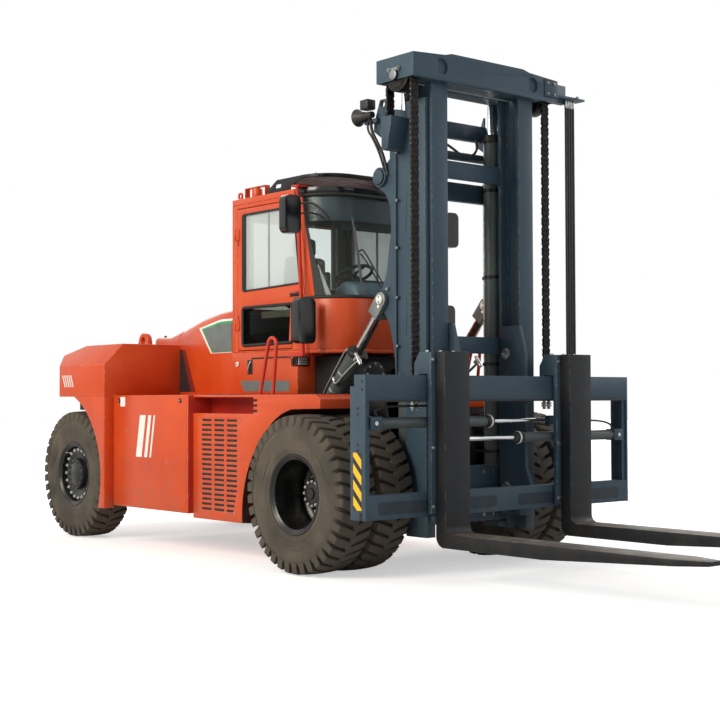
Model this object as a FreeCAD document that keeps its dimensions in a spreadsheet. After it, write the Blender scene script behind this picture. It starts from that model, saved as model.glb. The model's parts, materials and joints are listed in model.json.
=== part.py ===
import FreeCAD, Part
import math
import os
import re

import Sketcher
from FreeCAD import Placement, Rotation, Vector

# Electric forklift of the 25 tonne class. +X forward, +Y left, +Z up, ground at z = 0, millimetres.
# Stations along the truck are measured from the front axle: at(-1000) lies one metre behind it.
doc = FreeCAD.newDocument("ElectricForklift")
sheet = doc.addObject("Spreadsheet::Sheet", "Sizes")

drivingSizes = {
    "frontAxleX": 570, "wheelbase": 4215, "rearOverhang": 685, "forkReach": 3760,
    "tyreRadius": 685, "tyreWidth": 375, "rimRadius": 331,
    "outerTyreY": 1310.5, "innerTyreY": 892.5, "rearTyreY": 1135, "kingpinY": 900,
    "frameHalf": 520, "frameBottom": 450, "deckHeight": 1540, "boxBottom": 405,
    "boxHalf": 1370, "fenderHalf": 1312, "fenderInner": 760, "ballastHalf": 1480,
    "ballastBottom": 1527, "ballastTop": 2080, "panelThick": 12,
    "cabHalf": 710, "cabRear": 2030, "cabFloor": 1960, "cabEaves": 3430, "cabTop": 3490,
    "cabWall": 40, "glassThick": 8, "bonnetBottom": 2428,
    "pivotAhead": 330, "pivotHeight": 620, "mastBottom": 320, "outerTop": 4070,
    "mastHalf": 660, "innerBottom": 455, "headBottom": 4209, "headTop": 4453, "headHalf": 888,
    "sheaveX": 650, "sheaveY": 806, "sheaveZ": 4250, "sheaveRadius": 155, "chainWidth": 94,
    "chainThick": 28, "liftX": 405, "liftY": 530, "liftRadius": 85, "liftRodRadius": 60,
    "tiltY": 642, "tiltFootX": 640, "tiltFootZ": 1320, "tiltEyeX": 235, "tiltEyeZ": 2370,
    "tiltRadius": 88, "tiltRodRadius": 45,
    "carriageHalf": 1600, "carriageFront": 1093, "barDepth": 100, "upperBarZ": 1483,
    "upperBarHeight": 210, "lowerBarZ": 540, "lowerBarHeight": 196,
    "forkY": 755, "forkLength": 2500, "forkWidth": 280, "shankRear": 1145, "shankFront": 1260,
    "shankTop": 1885, "bladeBottom": 289, "bladeTop": 400, "bracketWidth": 376,
    "positionerX": 1040, "upperPositionerZ": 1306, "lowerPositionerZ": 1160,
}
for row, (alias, value) in enumerate(drivingSizes.items(), start=1):
    sheet.set(f"A{row}", alias)
    sheet.set(f"B{row}", str(value))
    sheet.setAlias(f"B{row}", alias)
doc.recompute()
size = {alias: float(sheet.get(alias)) for alias in drivingSizes}
subParts = {}


def at(x):
    return size["frontAxleX"] + x


def rear(x):
    return at(x - size["wheelbase"])


def fromSheet(expression):
    return re.sub(r"[A-Za-z]\w*", lambda word: "Sizes." + word.group(), expression)


def setValue(thing, name, value):
    if isinstance(value, str):
        thing.setExpression(name, fromSheet(value))
    else:
        setattr(thing, name, value)


def place(thing, position, turn=None):
    numbers = [0 if isinstance(p, str) else p for p in position]
    thing.Placement = Placement(Vector(*numbers), turn or Rotation())
    for letter, p in zip("xyz", position):
        if isinstance(p, str):
            thing.setExpression("Placement.Base." + letter, fromSheet(p))
    return thing


def box(name, length, width, height, position):
    thing = doc.addObject("Part::Box", name)
    setValue(thing, "Length", length)
    setValue(thing, "Width", width)
    setValue(thing, "Height", height)
    return place(thing, position)


def rod(name, radius, length, position, along=(0, 0, 1)):
    thing = doc.addObject("Part::Cylinder", name)
    setValue(thing, "Radius", radius)
    setValue(thing, "Height", length)
    return place(thing, position, Rotation(Vector(0, 0, 1), Vector(*along)))


def arc(middle, end):
    return ("arc", middle, end)


def originPlane(body, role):
    return next(f for f in body.Origin.OriginFeatures if f.Role == role)


def drawOutline(sketch, outline):
    here = Vector(*outline[0], 0)
    steps = list(outline[1:])
    if len(steps[-1]) == 2 or steps[-1][2] != outline[0]:
        steps.append(outline[0])
    first = sketch.GeometryCount
    entries, exits = [], []
    for step in steps:
        there = Vector(*(step[2] if len(step) == 3 else step), 0)
        turnsLeft = True
        if len(step) == 3:
            middle = Vector(*step[1], 0)
            turnsLeft = (middle - here).cross(there - here).z > 0
            ends = (here, there) if turnsLeft else (there, here)
            sketch.addGeometry(Part.ArcOfCircle(ends[0], middle, ends[1]), False)
        else:
            sketch.addGeometry(Part.LineSegment(here, there), False)
        entries.append(1 if turnsLeft else 2)
        exits.append(2 if turnsLeft else 1)
        here = there
    for index in range(len(steps)):
        after = (index + 1) % len(steps)
        sketch.addConstraint(Sketcher.Constraint("Coincident", first + index, exits[index],
                                                 first + after, entries[after]))


def sketchOn(body, role, outlines, offset=0):
    sketch = body.newObject("Sketcher::SketchObject", body.Name + "Outline")
    sketch.AttachmentSupport = [(originPlane(body, role), "")]
    sketch.MapMode = "FlatFace"
    sketch.AttachmentOffset = Placement(Vector(0, 0, offset), Rotation())
    for outline in outlines:
        drawOutline(sketch, outline)
    return sketch


def plate(name, role, outlines, thick, start):
    # A padded outline. XZ outlines grow in Y from start, YZ ones in X and XY ones in Z.
    body = doc.addObject("PartDesign::Body", name)
    if isinstance(outlines[0], tuple):
        outlines = [outlines]
    sketch = sketchOn(body, role, outlines)
    pad = body.newObject("PartDesign::Pad", name + "Pad")
    pad.Profile = sketch
    setValue(pad, "Length", thick)
    sketch.Visibility = False
    if role == "XZ_Plane":
        far = f"{start} + {thick}" if isinstance(start, str) or isinstance(thick, str) else start + thick
        return place(body, (0, far, 0))
    return place(body, (start, 0, 0) if role == "YZ_Plane" else (0, 0, start))


def turned(name, outline, position, along="Y"):
    # A revolved outline of (radius, distance along the axis) points.
    body = doc.addObject("PartDesign::Body", name)
    sketch = sketchOn(body, "XY_Plane" if along == "Y" else "XZ_Plane", [outline])
    turn = body.newObject("PartDesign::Revolution", name + "Turn")
    turn.Profile = sketch
    turn.ReferenceAxis = (sketch, ["V_Axis"])
    turn.Angle = 360
    sketch.Visibility = False
    return place(body, position)


def loft(name, sections):
    # A skin through YZ outlines, each at its own X.
    body = doc.addObject("PartDesign::Body", name)
    sketches = [sketchOn(body, "YZ_Plane", [outline], x) for x, outline in sections]
    skin = body.newObject("PartDesign::AdditiveLoft", name + "Skin")
    skin.Profile = sketches[0]
    skin.Sections = sketches[1:]
    skin.Ruled = True
    return body


def loftUp(name, sections):
    # A skin through XY outlines, each at its own Z.
    body = doc.addObject("PartDesign::Body", name)
    sketches = [sketchOn(body, "XY_Plane", [outline], z) for z, outline in sections]
    skin = body.newObject("PartDesign::AdditiveLoft", name + "Skin")
    skin.Profile = sketches[0]
    skin.Sections = sketches[1:]
    skin.Ruled = True
    return body


def join(name, pieces):
    thing = doc.addObject("Part::MultiFuse", name)
    thing.Shapes = pieces
    thing.Refine = True
    return thing


def cut(name, base, tools):
    thing = doc.addObject("Part::Cut", name)
    thing.Base = base
    thing.Tool = tools[0] if len(tools) == 1 else join(name + "Tools", tools)
    return thing


def mirror(name, source, normal=(0, 1, 0)):
    thing = doc.addObject("Part::Mirroring", name)
    thing.Source = source
    thing.Normal = Vector(*normal)
    return thing


def pair(name, source):
    return join(name, [source, mirror(name + "OtherSide", source)])


def keep(node, thing):
    thing.Label = node
    subParts[node] = thing
    return thing


def keepSides(node, source):
    keep(node + "_right", source)
    keep(node + "_left", mirror(node + "Left", source))


def ring(name, outer, inner, length, position, along=(0, 0, 1)):
    return cut(name, rod(name + "Outer", outer, length, position, along),
               [rod(name + "Bore", inner, length, position, along)])


def roundedBlock(half, bottom, top, radius):
    # A section with square feet and two rounded upper corners.
    bend = radius * (1 - math.sqrt(0.5))
    return [(-half, bottom), (half, bottom), (half, top - radius),
            arc((half - bend, top - bend), (half - radius, top)), (-half + radius, top),
            arc((-half + bend, top - bend), (-half, top - radius))]


def roundedSheet(middleY, middleZ, wide, tall, radius):
    # An upright rectangle with four rounded corners.
    bend = radius * (1 - math.sqrt(0.5))
    y, z = wide / 2, tall / 2
    outline = [(-y + radius, -z), (y - radius, -z), arc((y - bend, -z + bend), (y, -z + radius)),
               (y, z - radius), arc((y - bend, z - bend), (y - radius, z)),
               (-y + radius, z), arc((-y + bend, z - bend), (-y, z - radius)),
               (-y, -z + radius), arc((-y + bend, -z + bend), (-y + radius, -z))]

    def moved(point):
        return (point[0] + middleY, point[1] + middleZ)

    return [("arc", moved(step[1]), moved(step[2])) if len(step) == 3 else moved(step) for step in outline]


def polygon(corners, radius, turn=0):
    return [(radius * math.cos(math.radians(turn + 360 * k / corners)),
             radius * math.sin(math.radians(turn + 360 * k / corners))) for k in range(corners)]


# Wheels: 14.00-24 tyres, twins in front and steered singles behind.
lugCount = 18
grooveRadius = 643
middleGroove = 20
sidewall = {"shoulder": 632, "waist": 500, "bead": 345}


def lugRing(name, turn, thick, start):
    # One half of the tread: a toothed ring whose teeth are the lugs.
    pitch = 360 / lugCount
    outline = []
    for step in range(lugCount):
        for radius, share in ((size["tyreRadius"], 0), (size["tyreRadius"], 0.5),
                              (grooveRadius, 0.5), (grooveRadius, 1)):
            angle = math.radians(turn + (step + share) * pitch)
            outline.append((radius * math.cos(angle), radius * math.sin(angle)))
    return plate(name, "XY_Plane", outline, thick, start)


def tyre(name, position):
    # Drawn flat-sided about the Z axis and turned onto its axle; the two rows of lugs are staggered.
    half = size["tyreWidth"] / 2
    edge = half - 37
    flat = math.cos(math.pi / lugCount)
    drum = plate(name + "Drum", "XY_Plane", polygon(lugCount, sidewall["shoulder"]), "tyreWidth", -half)
    bevels = []
    for side in (-1, 1):
        # Each flat of the drum is sloped from the shoulder up to the sidewall's widest ring.
        down = Vector((sidewall["waist"] - sidewall["shoulder"]) * flat, 0, side * (half - edge)).normalize()
        outward = Vector(abs(down.z), 0, -side * down.x)
        across = outward.cross(down)
        corner = Vector(sidewall["shoulder"] * flat, 0, side * edge) - down * 60 - across * 200
        lean = Placement(corner, Rotation(down, across, outward, "ZXY"))
        for step in range(lugCount):
            bevel = doc.addObject("Part::Box", name + "Bevel")
            bevel.Length, bevel.Width, bevel.Height = 300, 400, 90
            turn = Rotation(Vector(0, 0, 1), 360 / lugCount * (step + 0.5))
            bevel.Placement = Placement(Vector(), turn).multiply(lean)
            bevels.append(bevel)
    carcass = cut(name + "Carcass", drum, bevels)
    band = plate(name + "Band", "XY_Plane", polygon(2 * lugCount, grooveRadius), 2 * edge, -edge)
    inner = middleGroove / 2
    rows = [lugRing(name + "Lugs", turn, edge - inner, start)
            for turn, start in ((0, inner), (180 / lugCount, -edge))]
    dish = [plate(name + "Dish", "XY_Plane", polygon(lugCount, sidewall["bead"]), 60, start)
            for start in (edge, -edge - 60)]
    seat = (size["rimRadius"] - 19) / flat
    bore = plate(name + "Bore", "XY_Plane", polygon(lugCount, seat), 2 * half + 2, -half - 1)
    whole = cut(name, join(name + "Solid", [carcass, band] + rows), dish + [bore])
    return place(whole, position, Rotation(Vector(0, 0, 1), Vector(0, 1, 0)))


def wheels():
    half = size["tyreWidth"] / 2
    seat = size["rimRadius"] - 19
    flange = half - 37
    outerTyre = tyre("OuterTyre", ("frontAxleX", "-outerTyreY", "tyreRadius"))
    innerTyre = tyre("InnerTyre", ("frontAxleX", "-innerTyreY", "tyreRadius"))
    keepSides("front_tyres", join("FrontTyres", [outerTyre, innerTyre]))

    gap = size["outerTyreY"] - size["innerTyreY"]
    bore = seat - 22
    # Twin rims with the hub between them, drawn from the outer wheel's middle inwards.
    twinRim = [(bore, -flange - 15), (size["rimRadius"], -flange - 15), (size["rimRadius"], -flange),
               (seat, -flange), (seat, gap + flange), (size["rimRadius"], gap + flange),
               (size["rimRadius"], gap + flange + 15), (bore, gap + flange + 15), (bore, gap / 2 + 8),
               (150, gap / 2 + 8), (150, gap / 2 + 60), (135, gap / 2 + 60), (135, gap / 2 + 20),
               (0, gap / 2 + 20), (0, 40), (110, 40), (145, 75), (145, gap / 2 - 30),
               (255, gap / 2 - 30), (bore, gap / 2 - 60)]
    keepSides("front_rims", turned("TwinRim", twinRim, ("frontAxleX", "-outerTyreY", "tyreRadius")))

    rearX = "frontAxleX - wheelbase"
    keepSides("rear_tyre", tyre("RearTyre", (rearX, "-rearTyreY", "tyreRadius")))
    rearRim = [(bore, -flange - 15), (size["rimRadius"], -flange - 15), (size["rimRadius"], -flange),
               (seat, -flange), (seat, flange), (size["rimRadius"], flange),
               (size["rimRadius"], flange + 15), (bore, flange + 15), (bore, -10), (150, -10),
               (150, 20), (75, 20), (75, -150), (0, -150), (0, -165), (150, -165), (170, -110),
               (170, -60), (275, -60), (bore, -80)]
    keepSides("rear_rim", turned("RearRim", rearRim, (rearX, "-rearTyreY", "tyreRadius")))


def axles():
    axleTube = rod("AxleTube", 120, 500, ("frontAxleX", "-frameHalf", "tyreRadius"), (0, -1, 0))
    collar = rod("AxleCollar", 185, 60, ("frontAxleX", "-frameHalf", "tyreRadius"), (0, -1, 0))
    keep("front_axle", pair("FrontAxle", join("FrontAxleSide", [axleTube, collar])))

    earLow, earHigh, earThick, earLength = 95, 50, 50, 210
    beam = box("SteerBeam", 220, "2 * kingpinY - 160", 240,
               ("frontAxleX - wheelbase - 110", "-kingpinY + 80", "tyreRadius - 120"))
    ears = []
    for side in (-1, 1):
        for low in (-earLow - earHigh, earLow):
            start = side * size["kingpinY"]
            ears.append(box("SteerEar", 180, earLength, earThick,
                            (rear(-90), start - earLength / 2 - side * 35, size["tyreRadius"] + low)))
    keep("steer_axle", join("SteerAxle", [beam] + ears))

    kingpin = ("frontAxleX - wheelbase", "-kingpinY")
    post = rod("KnucklePost", 62, 180, (*kingpin, "tyreRadius - 90"))
    spindle = rod("Spindle", 74.9, "rearTyreY - kingpinY + 20",
                  ("frontAxleX - wheelbase", "-kingpinY", "tyreRadius"), (0, -1, 0))
    keepSides("steer_knuckle", join("SteerKnuckle", [post, spindle]))


# Chassis, ballast and body panels.
def chassis():
    deck, length = size["deckHeight"], 3570
    shell = box("FrameShell", length, "2 * frameHalf", "deckHeight - frameBottom",
                (at(-3390), "-frameHalf", "frameBottom"))
    hollow = box("FrameHollow", length - 60, "2 * frameHalf - 60", "deckHeight - frameBottom - 40",
                 (at(-3360), "-frameHalf + 30", "frameBottom + 20"))
    pivot = (at(size["pivotAhead"]), size["pivotHeight"])
    earOutline = [(at(170), 480), (pivot[0], 500), arc((pivot[0] + 120, pivot[1]), (pivot[0], 740)),
                  (at(170), 900)]
    ears = [plate("PivotEar", "XZ_Plane", earOutline, 60, start) for start in (-300, 240)]
    pins = [rod("MastPin", 55, 190, (pivot[0], start, pivot[1]), (0, 1, 0)) for start in (-430, 240)]
    foot = ("frontAxleX - tiltFootX", "tiltFootZ")
    feet = [rod("TiltPin", 45, 215, (foot[0], start, foot[1]), (0, direction, 0))
            for start, direction in ((-size["frameHalf"], -1), (size["frameHalf"], 1))]
    underCab = box("UnderCab", 397, 2 * 500, 360, (at(-957), -500, "deckHeight"))
    # The front's upper corner is sloped, which gives the lift cylinders room when the mast leans back.
    slopeOutline = [(at(181), 1000), (at(181), deck + 1), (at(60), deck + 1)]
    slope = plate("FrontSlope", "XZ_Plane", slopeOutline, 1100, -550)
    frameBox = cut("FrameBox", shell, [hollow, slope])
    keep("main_frame", join("MainFrame", [frameBox, underCab] + ears + pins + feet))


def counterweight():
    half, bottom, top = size["ballastHalf"], size["ballastBottom"], size["ballastTop"]
    front, corner = at(-3238), at(-4214)
    back = rear(-size["rearOverhang"])
    plan = [(front, -half), (front, half), (corner, half), (rear(-485), 1000), (back, 520),
            (back, -520), (rear(-485), -1000), (corner, -half)]
    block = plate("BallastBlock", "XY_Plane", plan, "ballastTop - ballastBottom", "ballastBottom")
    slope = [(half + 10, 1849), (1255, top + 5), (half + 10, top + 5)]
    sideCuts = []
    for sign in (-1, 1):
        outline = [(sign * y, z) for y, z in slope]
        sideCuts.append(plate("SideSlope", "YZ_Plane", outline, 1800, back - 20))
    rearSlope = [(at(-3990), top + 5), (back - 20, 1800), (back - 20, top + 5)]
    rearCut = plate("RearSlope", "XZ_Plane", rearSlope, 3100, -1550)
    core = box("BallastCore", 1410, 640, 697, (at(-4800), -320, 830))
    cheeks = [box("AxleCheek", 90, 500, 330, (rear(x), -250, 530)) for x in (-215, 125)]
    seat = box("FrameSeat", 160, "2 * frameHalf", "deckHeight - ballastBottom",
               (at(-3390), "-frameHalf", bottom))
    body = cut("BallastSloped", block, sideCuts + [rearCut, seat])
    lugOutline = [(at(-4380), 1900), (at(-3950), 1900), (at(-4000), 2150),
                  arc((at(-4100), 2241), (at(-4200), 2150))]
    lugs = []
    for start in (-500, 440):
        lug = plate("LiftLug", "XZ_Plane", lugOutline, 60, start)
        hole = rod("LugHole", 45, 60, (at(-4105), start, 2150), (0, 1, 0))
        lugs.append(cut("LiftLugBored", lug, [hole]))
    # The cover's low tail, which runs on into the battery hood.
    humpFoot = top - 10
    hump = loft("BallastHump", [(at(-3953), roundedBlock(430, humpFoot, 2190, 60)),
                                (at(-3600), roundedBlock(480, humpFoot, 2175, 60)),
                                (front, roundedBlock(560, humpFoot, 2262, 150))])
    keep("counterweight", join("Counterweight", [body, core, hump] + cheeks + lugs))


def rearArches():
    centre = (at(-4215), size["tyreRadius"])
    radius = 900
    low, high = 375, size["ballastBottom"]
    frontX = at(-3238)

    def onArch(z):
        return (centre[0] + math.sqrt(radius ** 2 - (z - centre[1]) ** 2), z)

    outline = [(frontX, low), (frontX, high), onArch(high), arc(onArch(1100), onArch(low))]
    keep("rear_arches", pair("RearArches", plate("RearArch", "XZ_Plane", outline, 120, -1480)))


def batteryBoxes():
    outer = box("BatteryCase", 1418, "boxHalf - frameHalf", "deckHeight - boxBottom",
                (at(-3238), "-boxHalf", "boxBottom"))
    inner = box("BatterySpace", 1418 - 24, "boxHalf - frameHalf - 2 * panelThick",
                "deckHeight - boxBottom - 2 * panelThick",
                (at(-3226), "-boxHalf + panelThick", "boxBottom + panelThick"))
    keep("battery_housings", pair("BatteryHousings", cut("BatteryHousing", outer, [inner])))
    block = box("BatteryPack", 1300, 760, 1000, (at(-3180), -1340, 430))
    keep("battery_packs", pair("BatteryPacks", block))


def fenders():
    deck = size["deckHeight"]
    skin = [(at(-1820), 363), (at(-1004), 363), (at(-1004), 486),
            arc((at(-876), 925), (at(-620), 1221)), arc((at(-440), 1346), (at(-242), 1408)),
            (at(154), 1415), (at(150), 1500), (at(85), deck), (at(-1820), deck)]
    outer = plate("FenderOuter", "XZ_Plane", skin, "fenderHalf - fenderInner", "-fenderHalf")
    inner = box("FenderRoot", 760, "fenderInner - frameHalf", 1177, (at(-1820), "-fenderInner", 363))
    recessFront = at(-829)
    recess = box("FenderRecess", recessFront - at(-1830), 220, 150, (at(-1830), "-fenderHalf - 10", 1366))
    # Cooling slots: three columns of them in each side, the lower ones shorter beside the wheel arch.
    slots = []
    for column in range(3):
        for row in range(19):
            shorter = 14 * max(0, row - 14) if column == 2 else 0
            slots.append(box("CoolingSlot", 164 - shorter, 24, 22,
                             (at(-1671 + 210 * column), "-fenderHalf - 10", 1290 - 46.5 * row)))
    notches = [box("RecessNotch", 62, 40, 22, (recessFront, "-fenderHalf - 10", 1380 + 48 * row))
               for row in range(3)]
    solid = join("FenderBlock", [outer, inner])
    keep("front_fenders", pair("FrontFenders", cut("Fender", solid, [recess] + slots + notches)))


def hood():
    deck = size["deckHeight"]
    sections = [(at(-3238), roundedBlock(560, deck, 2262, 150)),
                (at(-2749), roundedBlock(630, deck, 2356, 150)),
                (at(-2324), roundedBlock(690, deck, 2403, 150)),
                (at(-2034), roundedBlock(700, deck, 2410, 150))]
    keep("hood", loft("Hood", sections))


# Cab: floor, base, walls, doors, glass, roof, guard and what is inside.
def cabPlan(rearX, cornerX, radius, inset=0):
    half = size["cabHalf"] - inset
    r = radius - inset
    bend = r * (1 - math.sqrt(0.5))
    return [(rearX, -half), (cornerX, -half),
            arc((cornerX + r - bend, -half + bend), (cornerX + r, -half + r)), (cornerX + r, half - r),
            arc((cornerX + r - bend, half - bend), (cornerX, half)), (rearX, half)]


noseRadius = 400
noseX = {"foot": -790, "sill": -760, "eaves": -955}


def cab():
    rearX = at(-size["cabRear"])
    floorZ, eaves, sillZ = size["cabFloor"], size["cabEaves"], size["bonnetBottom"]
    wall, half = size["cabWall"], size["cabHalf"]
    base = box("CabBaseBlock", 1073, "2 * cabHalf", 385, (rearX, "-cabHalf", "deckHeight"))
    lampNooks = [box("LampNook", 110, 180, 130, (at(-1060), y, 1805)) for y in (-715, 535)]
    floorPlan = cabPlan(rearX, at(noseX["foot"]), noseRadius)
    floor = plate("CabFloor", "XY_Plane", floorPlan, 35, floorZ - 35)
    keep("cab_base", join("CabBase", [cut("CabBaseCut", base, lampNooks), floor]))

    noseRear = -870
    levels = [(floorZ, noseX["foot"]), (sillZ, noseX["sill"]), (eaves, noseX["eaves"])]

    def frontShell(name, low, high, inset, sideRear):
        sections = [(z, cabPlan(at(sideRear), at(x), noseRadius, inset)) for z, x in levels[low:high + 1]]
        return loftUp(name, sections)

    keep("cab_nose", cut("NoseShell", frontShell("NoseOuter", 0, 1, 0, noseRear),
                         [frontShell("NoseInner", 0, 1, wall, noseRear)]))
    inset = 16
    glassRear = -1040
    screen = cut("ScreenShell", frontShell("ScreenOuter", 1, 2, inset, glassRear),
                 [frontShell("ScreenInner", 1, 2, inset + size["glassThick"], glassRear)])
    pillarZone = plate("PillarZone", "XZ_Plane",
                       [(at(-1100), sillZ - 50), (at(noseX["sill"] + 11), sillZ - 50),
                        (at(noseX["eaves"] - 8), eaves + 50), (at(-1100), eaves + 50)], 1600, -800)
    rearGlass = box("RearGlass", 8, 1140, 960, (rearX + 16, -570, 2340))
    keep("cab_glass", join("CabGlass", [cut("Screen", screen, [pillarZone]), rearGlass]))

    rearWall = box("RearWall", wall, 2 * half, eaves - floorZ, (rearX, -half, floorZ))
    rearWindow = box("RearWindow", wall, 1140, 960, (rearX, -570, 2340))
    keep("cab_rear_wall", cut("CabRearWall", rearWall, [rearWindow]))

    sideOutline = [(rearX + wall, floorZ), (at(noseRear), floorZ), (at(noseRear), sillZ),
                   (at(noseX["sill"]), sillZ), (at(noseX["eaves"]), eaves), (rearX + wall, eaves)]
    doorway = [(at(x), z) for x, z in doorEdge]
    sideFrame = plate("SideFrame", "XZ_Plane", [sideOutline, doorway], wall, -half)
    keep("cab_sides", pair("CabSides", sideFrame))
    roofPlan = cabPlan(rearX, at(noseX["eaves"]), noseRadius)
    keep("cab_roof", plate("CabRoof", "XY_Plane", roofPlan, "cabTop - cabEaves", "cabEaves"))


# The doorway, from its rear lower corner forwards; the door stands doorGap inside it.
doorEdge = [(-1945, 1972), (-1040, 1972), (-988, 2345), (-838, 2490), (-996, 3393), (-1945, 3393)]
doorGap = 8


def doors():
    half, wall = size["cabHalf"], size["cabWall"]
    g = doorGap
    shifts = [(g, g), (-g, g), (-g, 0), (-g, 0), (-g, -g), (g, -g)]
    edge = [(at(x + dx), z + dz) for (x, z), (dx, dz) in zip(doorEdge, shifts)]
    upper = [(at(-1844), 2565), (at(-915), 2590), (at(-1010), 3325), (at(-1844), 3325)]
    lower = [(at(-1846), 2025), (at(-1090), 2025), (at(-1060), 2400), (at(-1846), 2400)]
    panel = plate("DoorPanel", "XZ_Plane", [edge, upper, lower], wall - 2, -half)
    fittings = [box("DoorHandle", 110, 30, 26, (at(-1060), -half - 26, 2480))]
    for z in (2180, 3080):
        fittings.append(rod("HingeBarrel", 12, 110, (at(-1960), -half - 14, z)))
        fittings.append(box("HingeStrap", 60, 10, 110, (at(-1960), -half - 14, z)))
        fittings.append(box("HingePad", 35, 10, 110, (at(-1935), -half - 7, z)))
    keepSides("door", join("Door", [panel] + fittings))
    panes = [plate("DoorPane", "XZ_Plane", outline, "glassThick", -half + 16) for outline in (upper, lower)]
    keepSides("door_glass", join("DoorGlass", panes))


def cabTopSide():
    top = size["cabTop"]
    guardRear, guardCorner = at(-1360), at(-960)
    outside = cabPlan(guardRear, guardCorner, 400, 60)
    inside = cabPlan(guardRear + 60, guardCorner, 400, 120)
    rim = cut("GuardRim", plate("GuardPlan", "XY_Plane", outside, 34, top + 98),
              [plate("GuardOpening", "XY_Plane", inside, 34, top + 98)])
    slats = [box("GuardSlat", 62, 1200, 14, (guardRear + 72 + 78 * i, -600, top + 106)) for i in range(8)]
    slopeFoot = guardRear - 140
    cheekOutline = [(slopeFoot, top), (at(-1140), top), (at(-1140), top + 50), (at(-960), top + 98),
                    (at(-960), top + 132), (guardRear, top + 132), (slopeFoot, top + 51)]
    window = [(slopeFoot + 110, top + 52), (slopeFoot + 205, top + 52), (slopeFoot + 212, top + 88),
              (slopeFoot + 125, top + 88)]
    cheek = plate("GuardCheek", "XZ_Plane", [cheekOutline, window], 10, -650)
    otherCheek = plate("GuardCheek", "XZ_Plane", [cheekOutline, window], 10, 640)
    keep("roof_guard", join("RoofGuard", [rim, cheek, otherCheek] + slats))
    hoopRear, hoopLong, hoopY = at(-1925), 345, -630
    beacon = rod("Beacon", 55, 90, (hoopRear + hoopLong / 2, hoopY + 30, top))
    legs = [box("HoopLeg", 8, 60, 110, (x, hoopY, top)) for x in (hoopRear, hoopRear + hoopLong - 8)]
    bridge = box("HoopBridge", hoopLong, 60, 8, (hoopRear, hoopY, top + 108))
    eyeX, eyeZ = at(-1985), top + 44
    eye = cut("LiftEye", rod("EyeDisc", 38, 16, (eyeX, -648, eyeZ), (0, 1, 0)),
              [rod("EyeHole", 20, 16, (eyeX, -648, eyeZ), (0, 1, 0))])
    stem = rod("EyeStem", 12, 16, (eyeX, -640, top))
    keep("roof_fittings", join("RoofFittings", legs + [bridge, eye, stem, beacon]))


def cabInside():
    floorZ = size["cabFloor"]
    base = box("SeatBase", 360, 380, 400, (at(-1680), -190, floorZ))
    cushion = box("SeatCushion", 540, 520, 110, (at(-1760), -260, floorZ + 400))
    back = plate("SeatBack", "XZ_Plane", [(at(-1760), floorZ + 510), (at(-1640), floorZ + 510),
                                          (at(-1740), floorZ + 1180), (at(-1840), floorZ + 1180)], 500, -250)
    keep("seat", join("Seat", [base, cushion, back]))
    column = plate("Console", "XZ_Plane", [(at(-960), floorZ), (at(-640), floorZ), (at(-620), 2420),
                                           (at(-760), 2640), (at(-960), 2560)], 420, -210)
    shaft = rod("WheelShaft", 22, 160, (at(-900), 0, 2560), (-0.42, 0, 0.9))
    wheel = doc.addObject("Part::Torus", "SteeringWheelRim")
    wheel.Radius1, wheel.Radius2 = 180, 16
    hubAt = Vector(at(-900) - 0.423 * 165, 0, 2560 + 0.906 * 165)
    lean = Rotation(Vector(0, 0, 1), Vector(-0.42, 0, 0.9))
    wheel.Placement = Placement(hubAt, lean)
    spokes = []
    for angle in (0, 120, 240):
        direction = lean.multVec(Vector(math.cos(math.radians(angle)), math.sin(math.radians(angle)), 0))
        spokes.append(rod("WheelSpoke", 13, 180, tuple(hubAt), tuple(direction)))
    keep("steering_console", join("SteeringConsole", [column, shaft, wheel] + spokes))


def handrail(feet):
    # Two leaning posts joined over the top by a bend tangent to both; their lines meet at the apex.
    apex, bend, tube = Vector(at(-432), -1275, 2736), 60, 17
    toFront, toRear = [foot.sub(apex).normalize() for foot in feet]
    halfAngle = toFront.getAngle(toRear) / 2
    reach = bend / math.tan(halfAngle)
    rails = [rod("RailPost", tube, foot.sub(apex).Length - reach, tuple(foot), tuple(apex.sub(foot)))
             for foot in feet]
    centre = apex + (toFront + toRear).normalize() * (bend / math.sin(halfAngle))
    outward = (apex + toFront * reach - centre).normalize()
    turnAxis = Vector(0, -1, 0)
    top = doc.addObject("Part::Torus", "RailBend")
    top.Radius1, top.Radius2, top.Angle3 = bend, tube, 180 - math.degrees(2 * halfAngle)
    top.Placement = Placement(centre, Rotation(outward, turnAxis.cross(outward), turnAxis, "ZXY"))
    return rails + [top]


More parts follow.
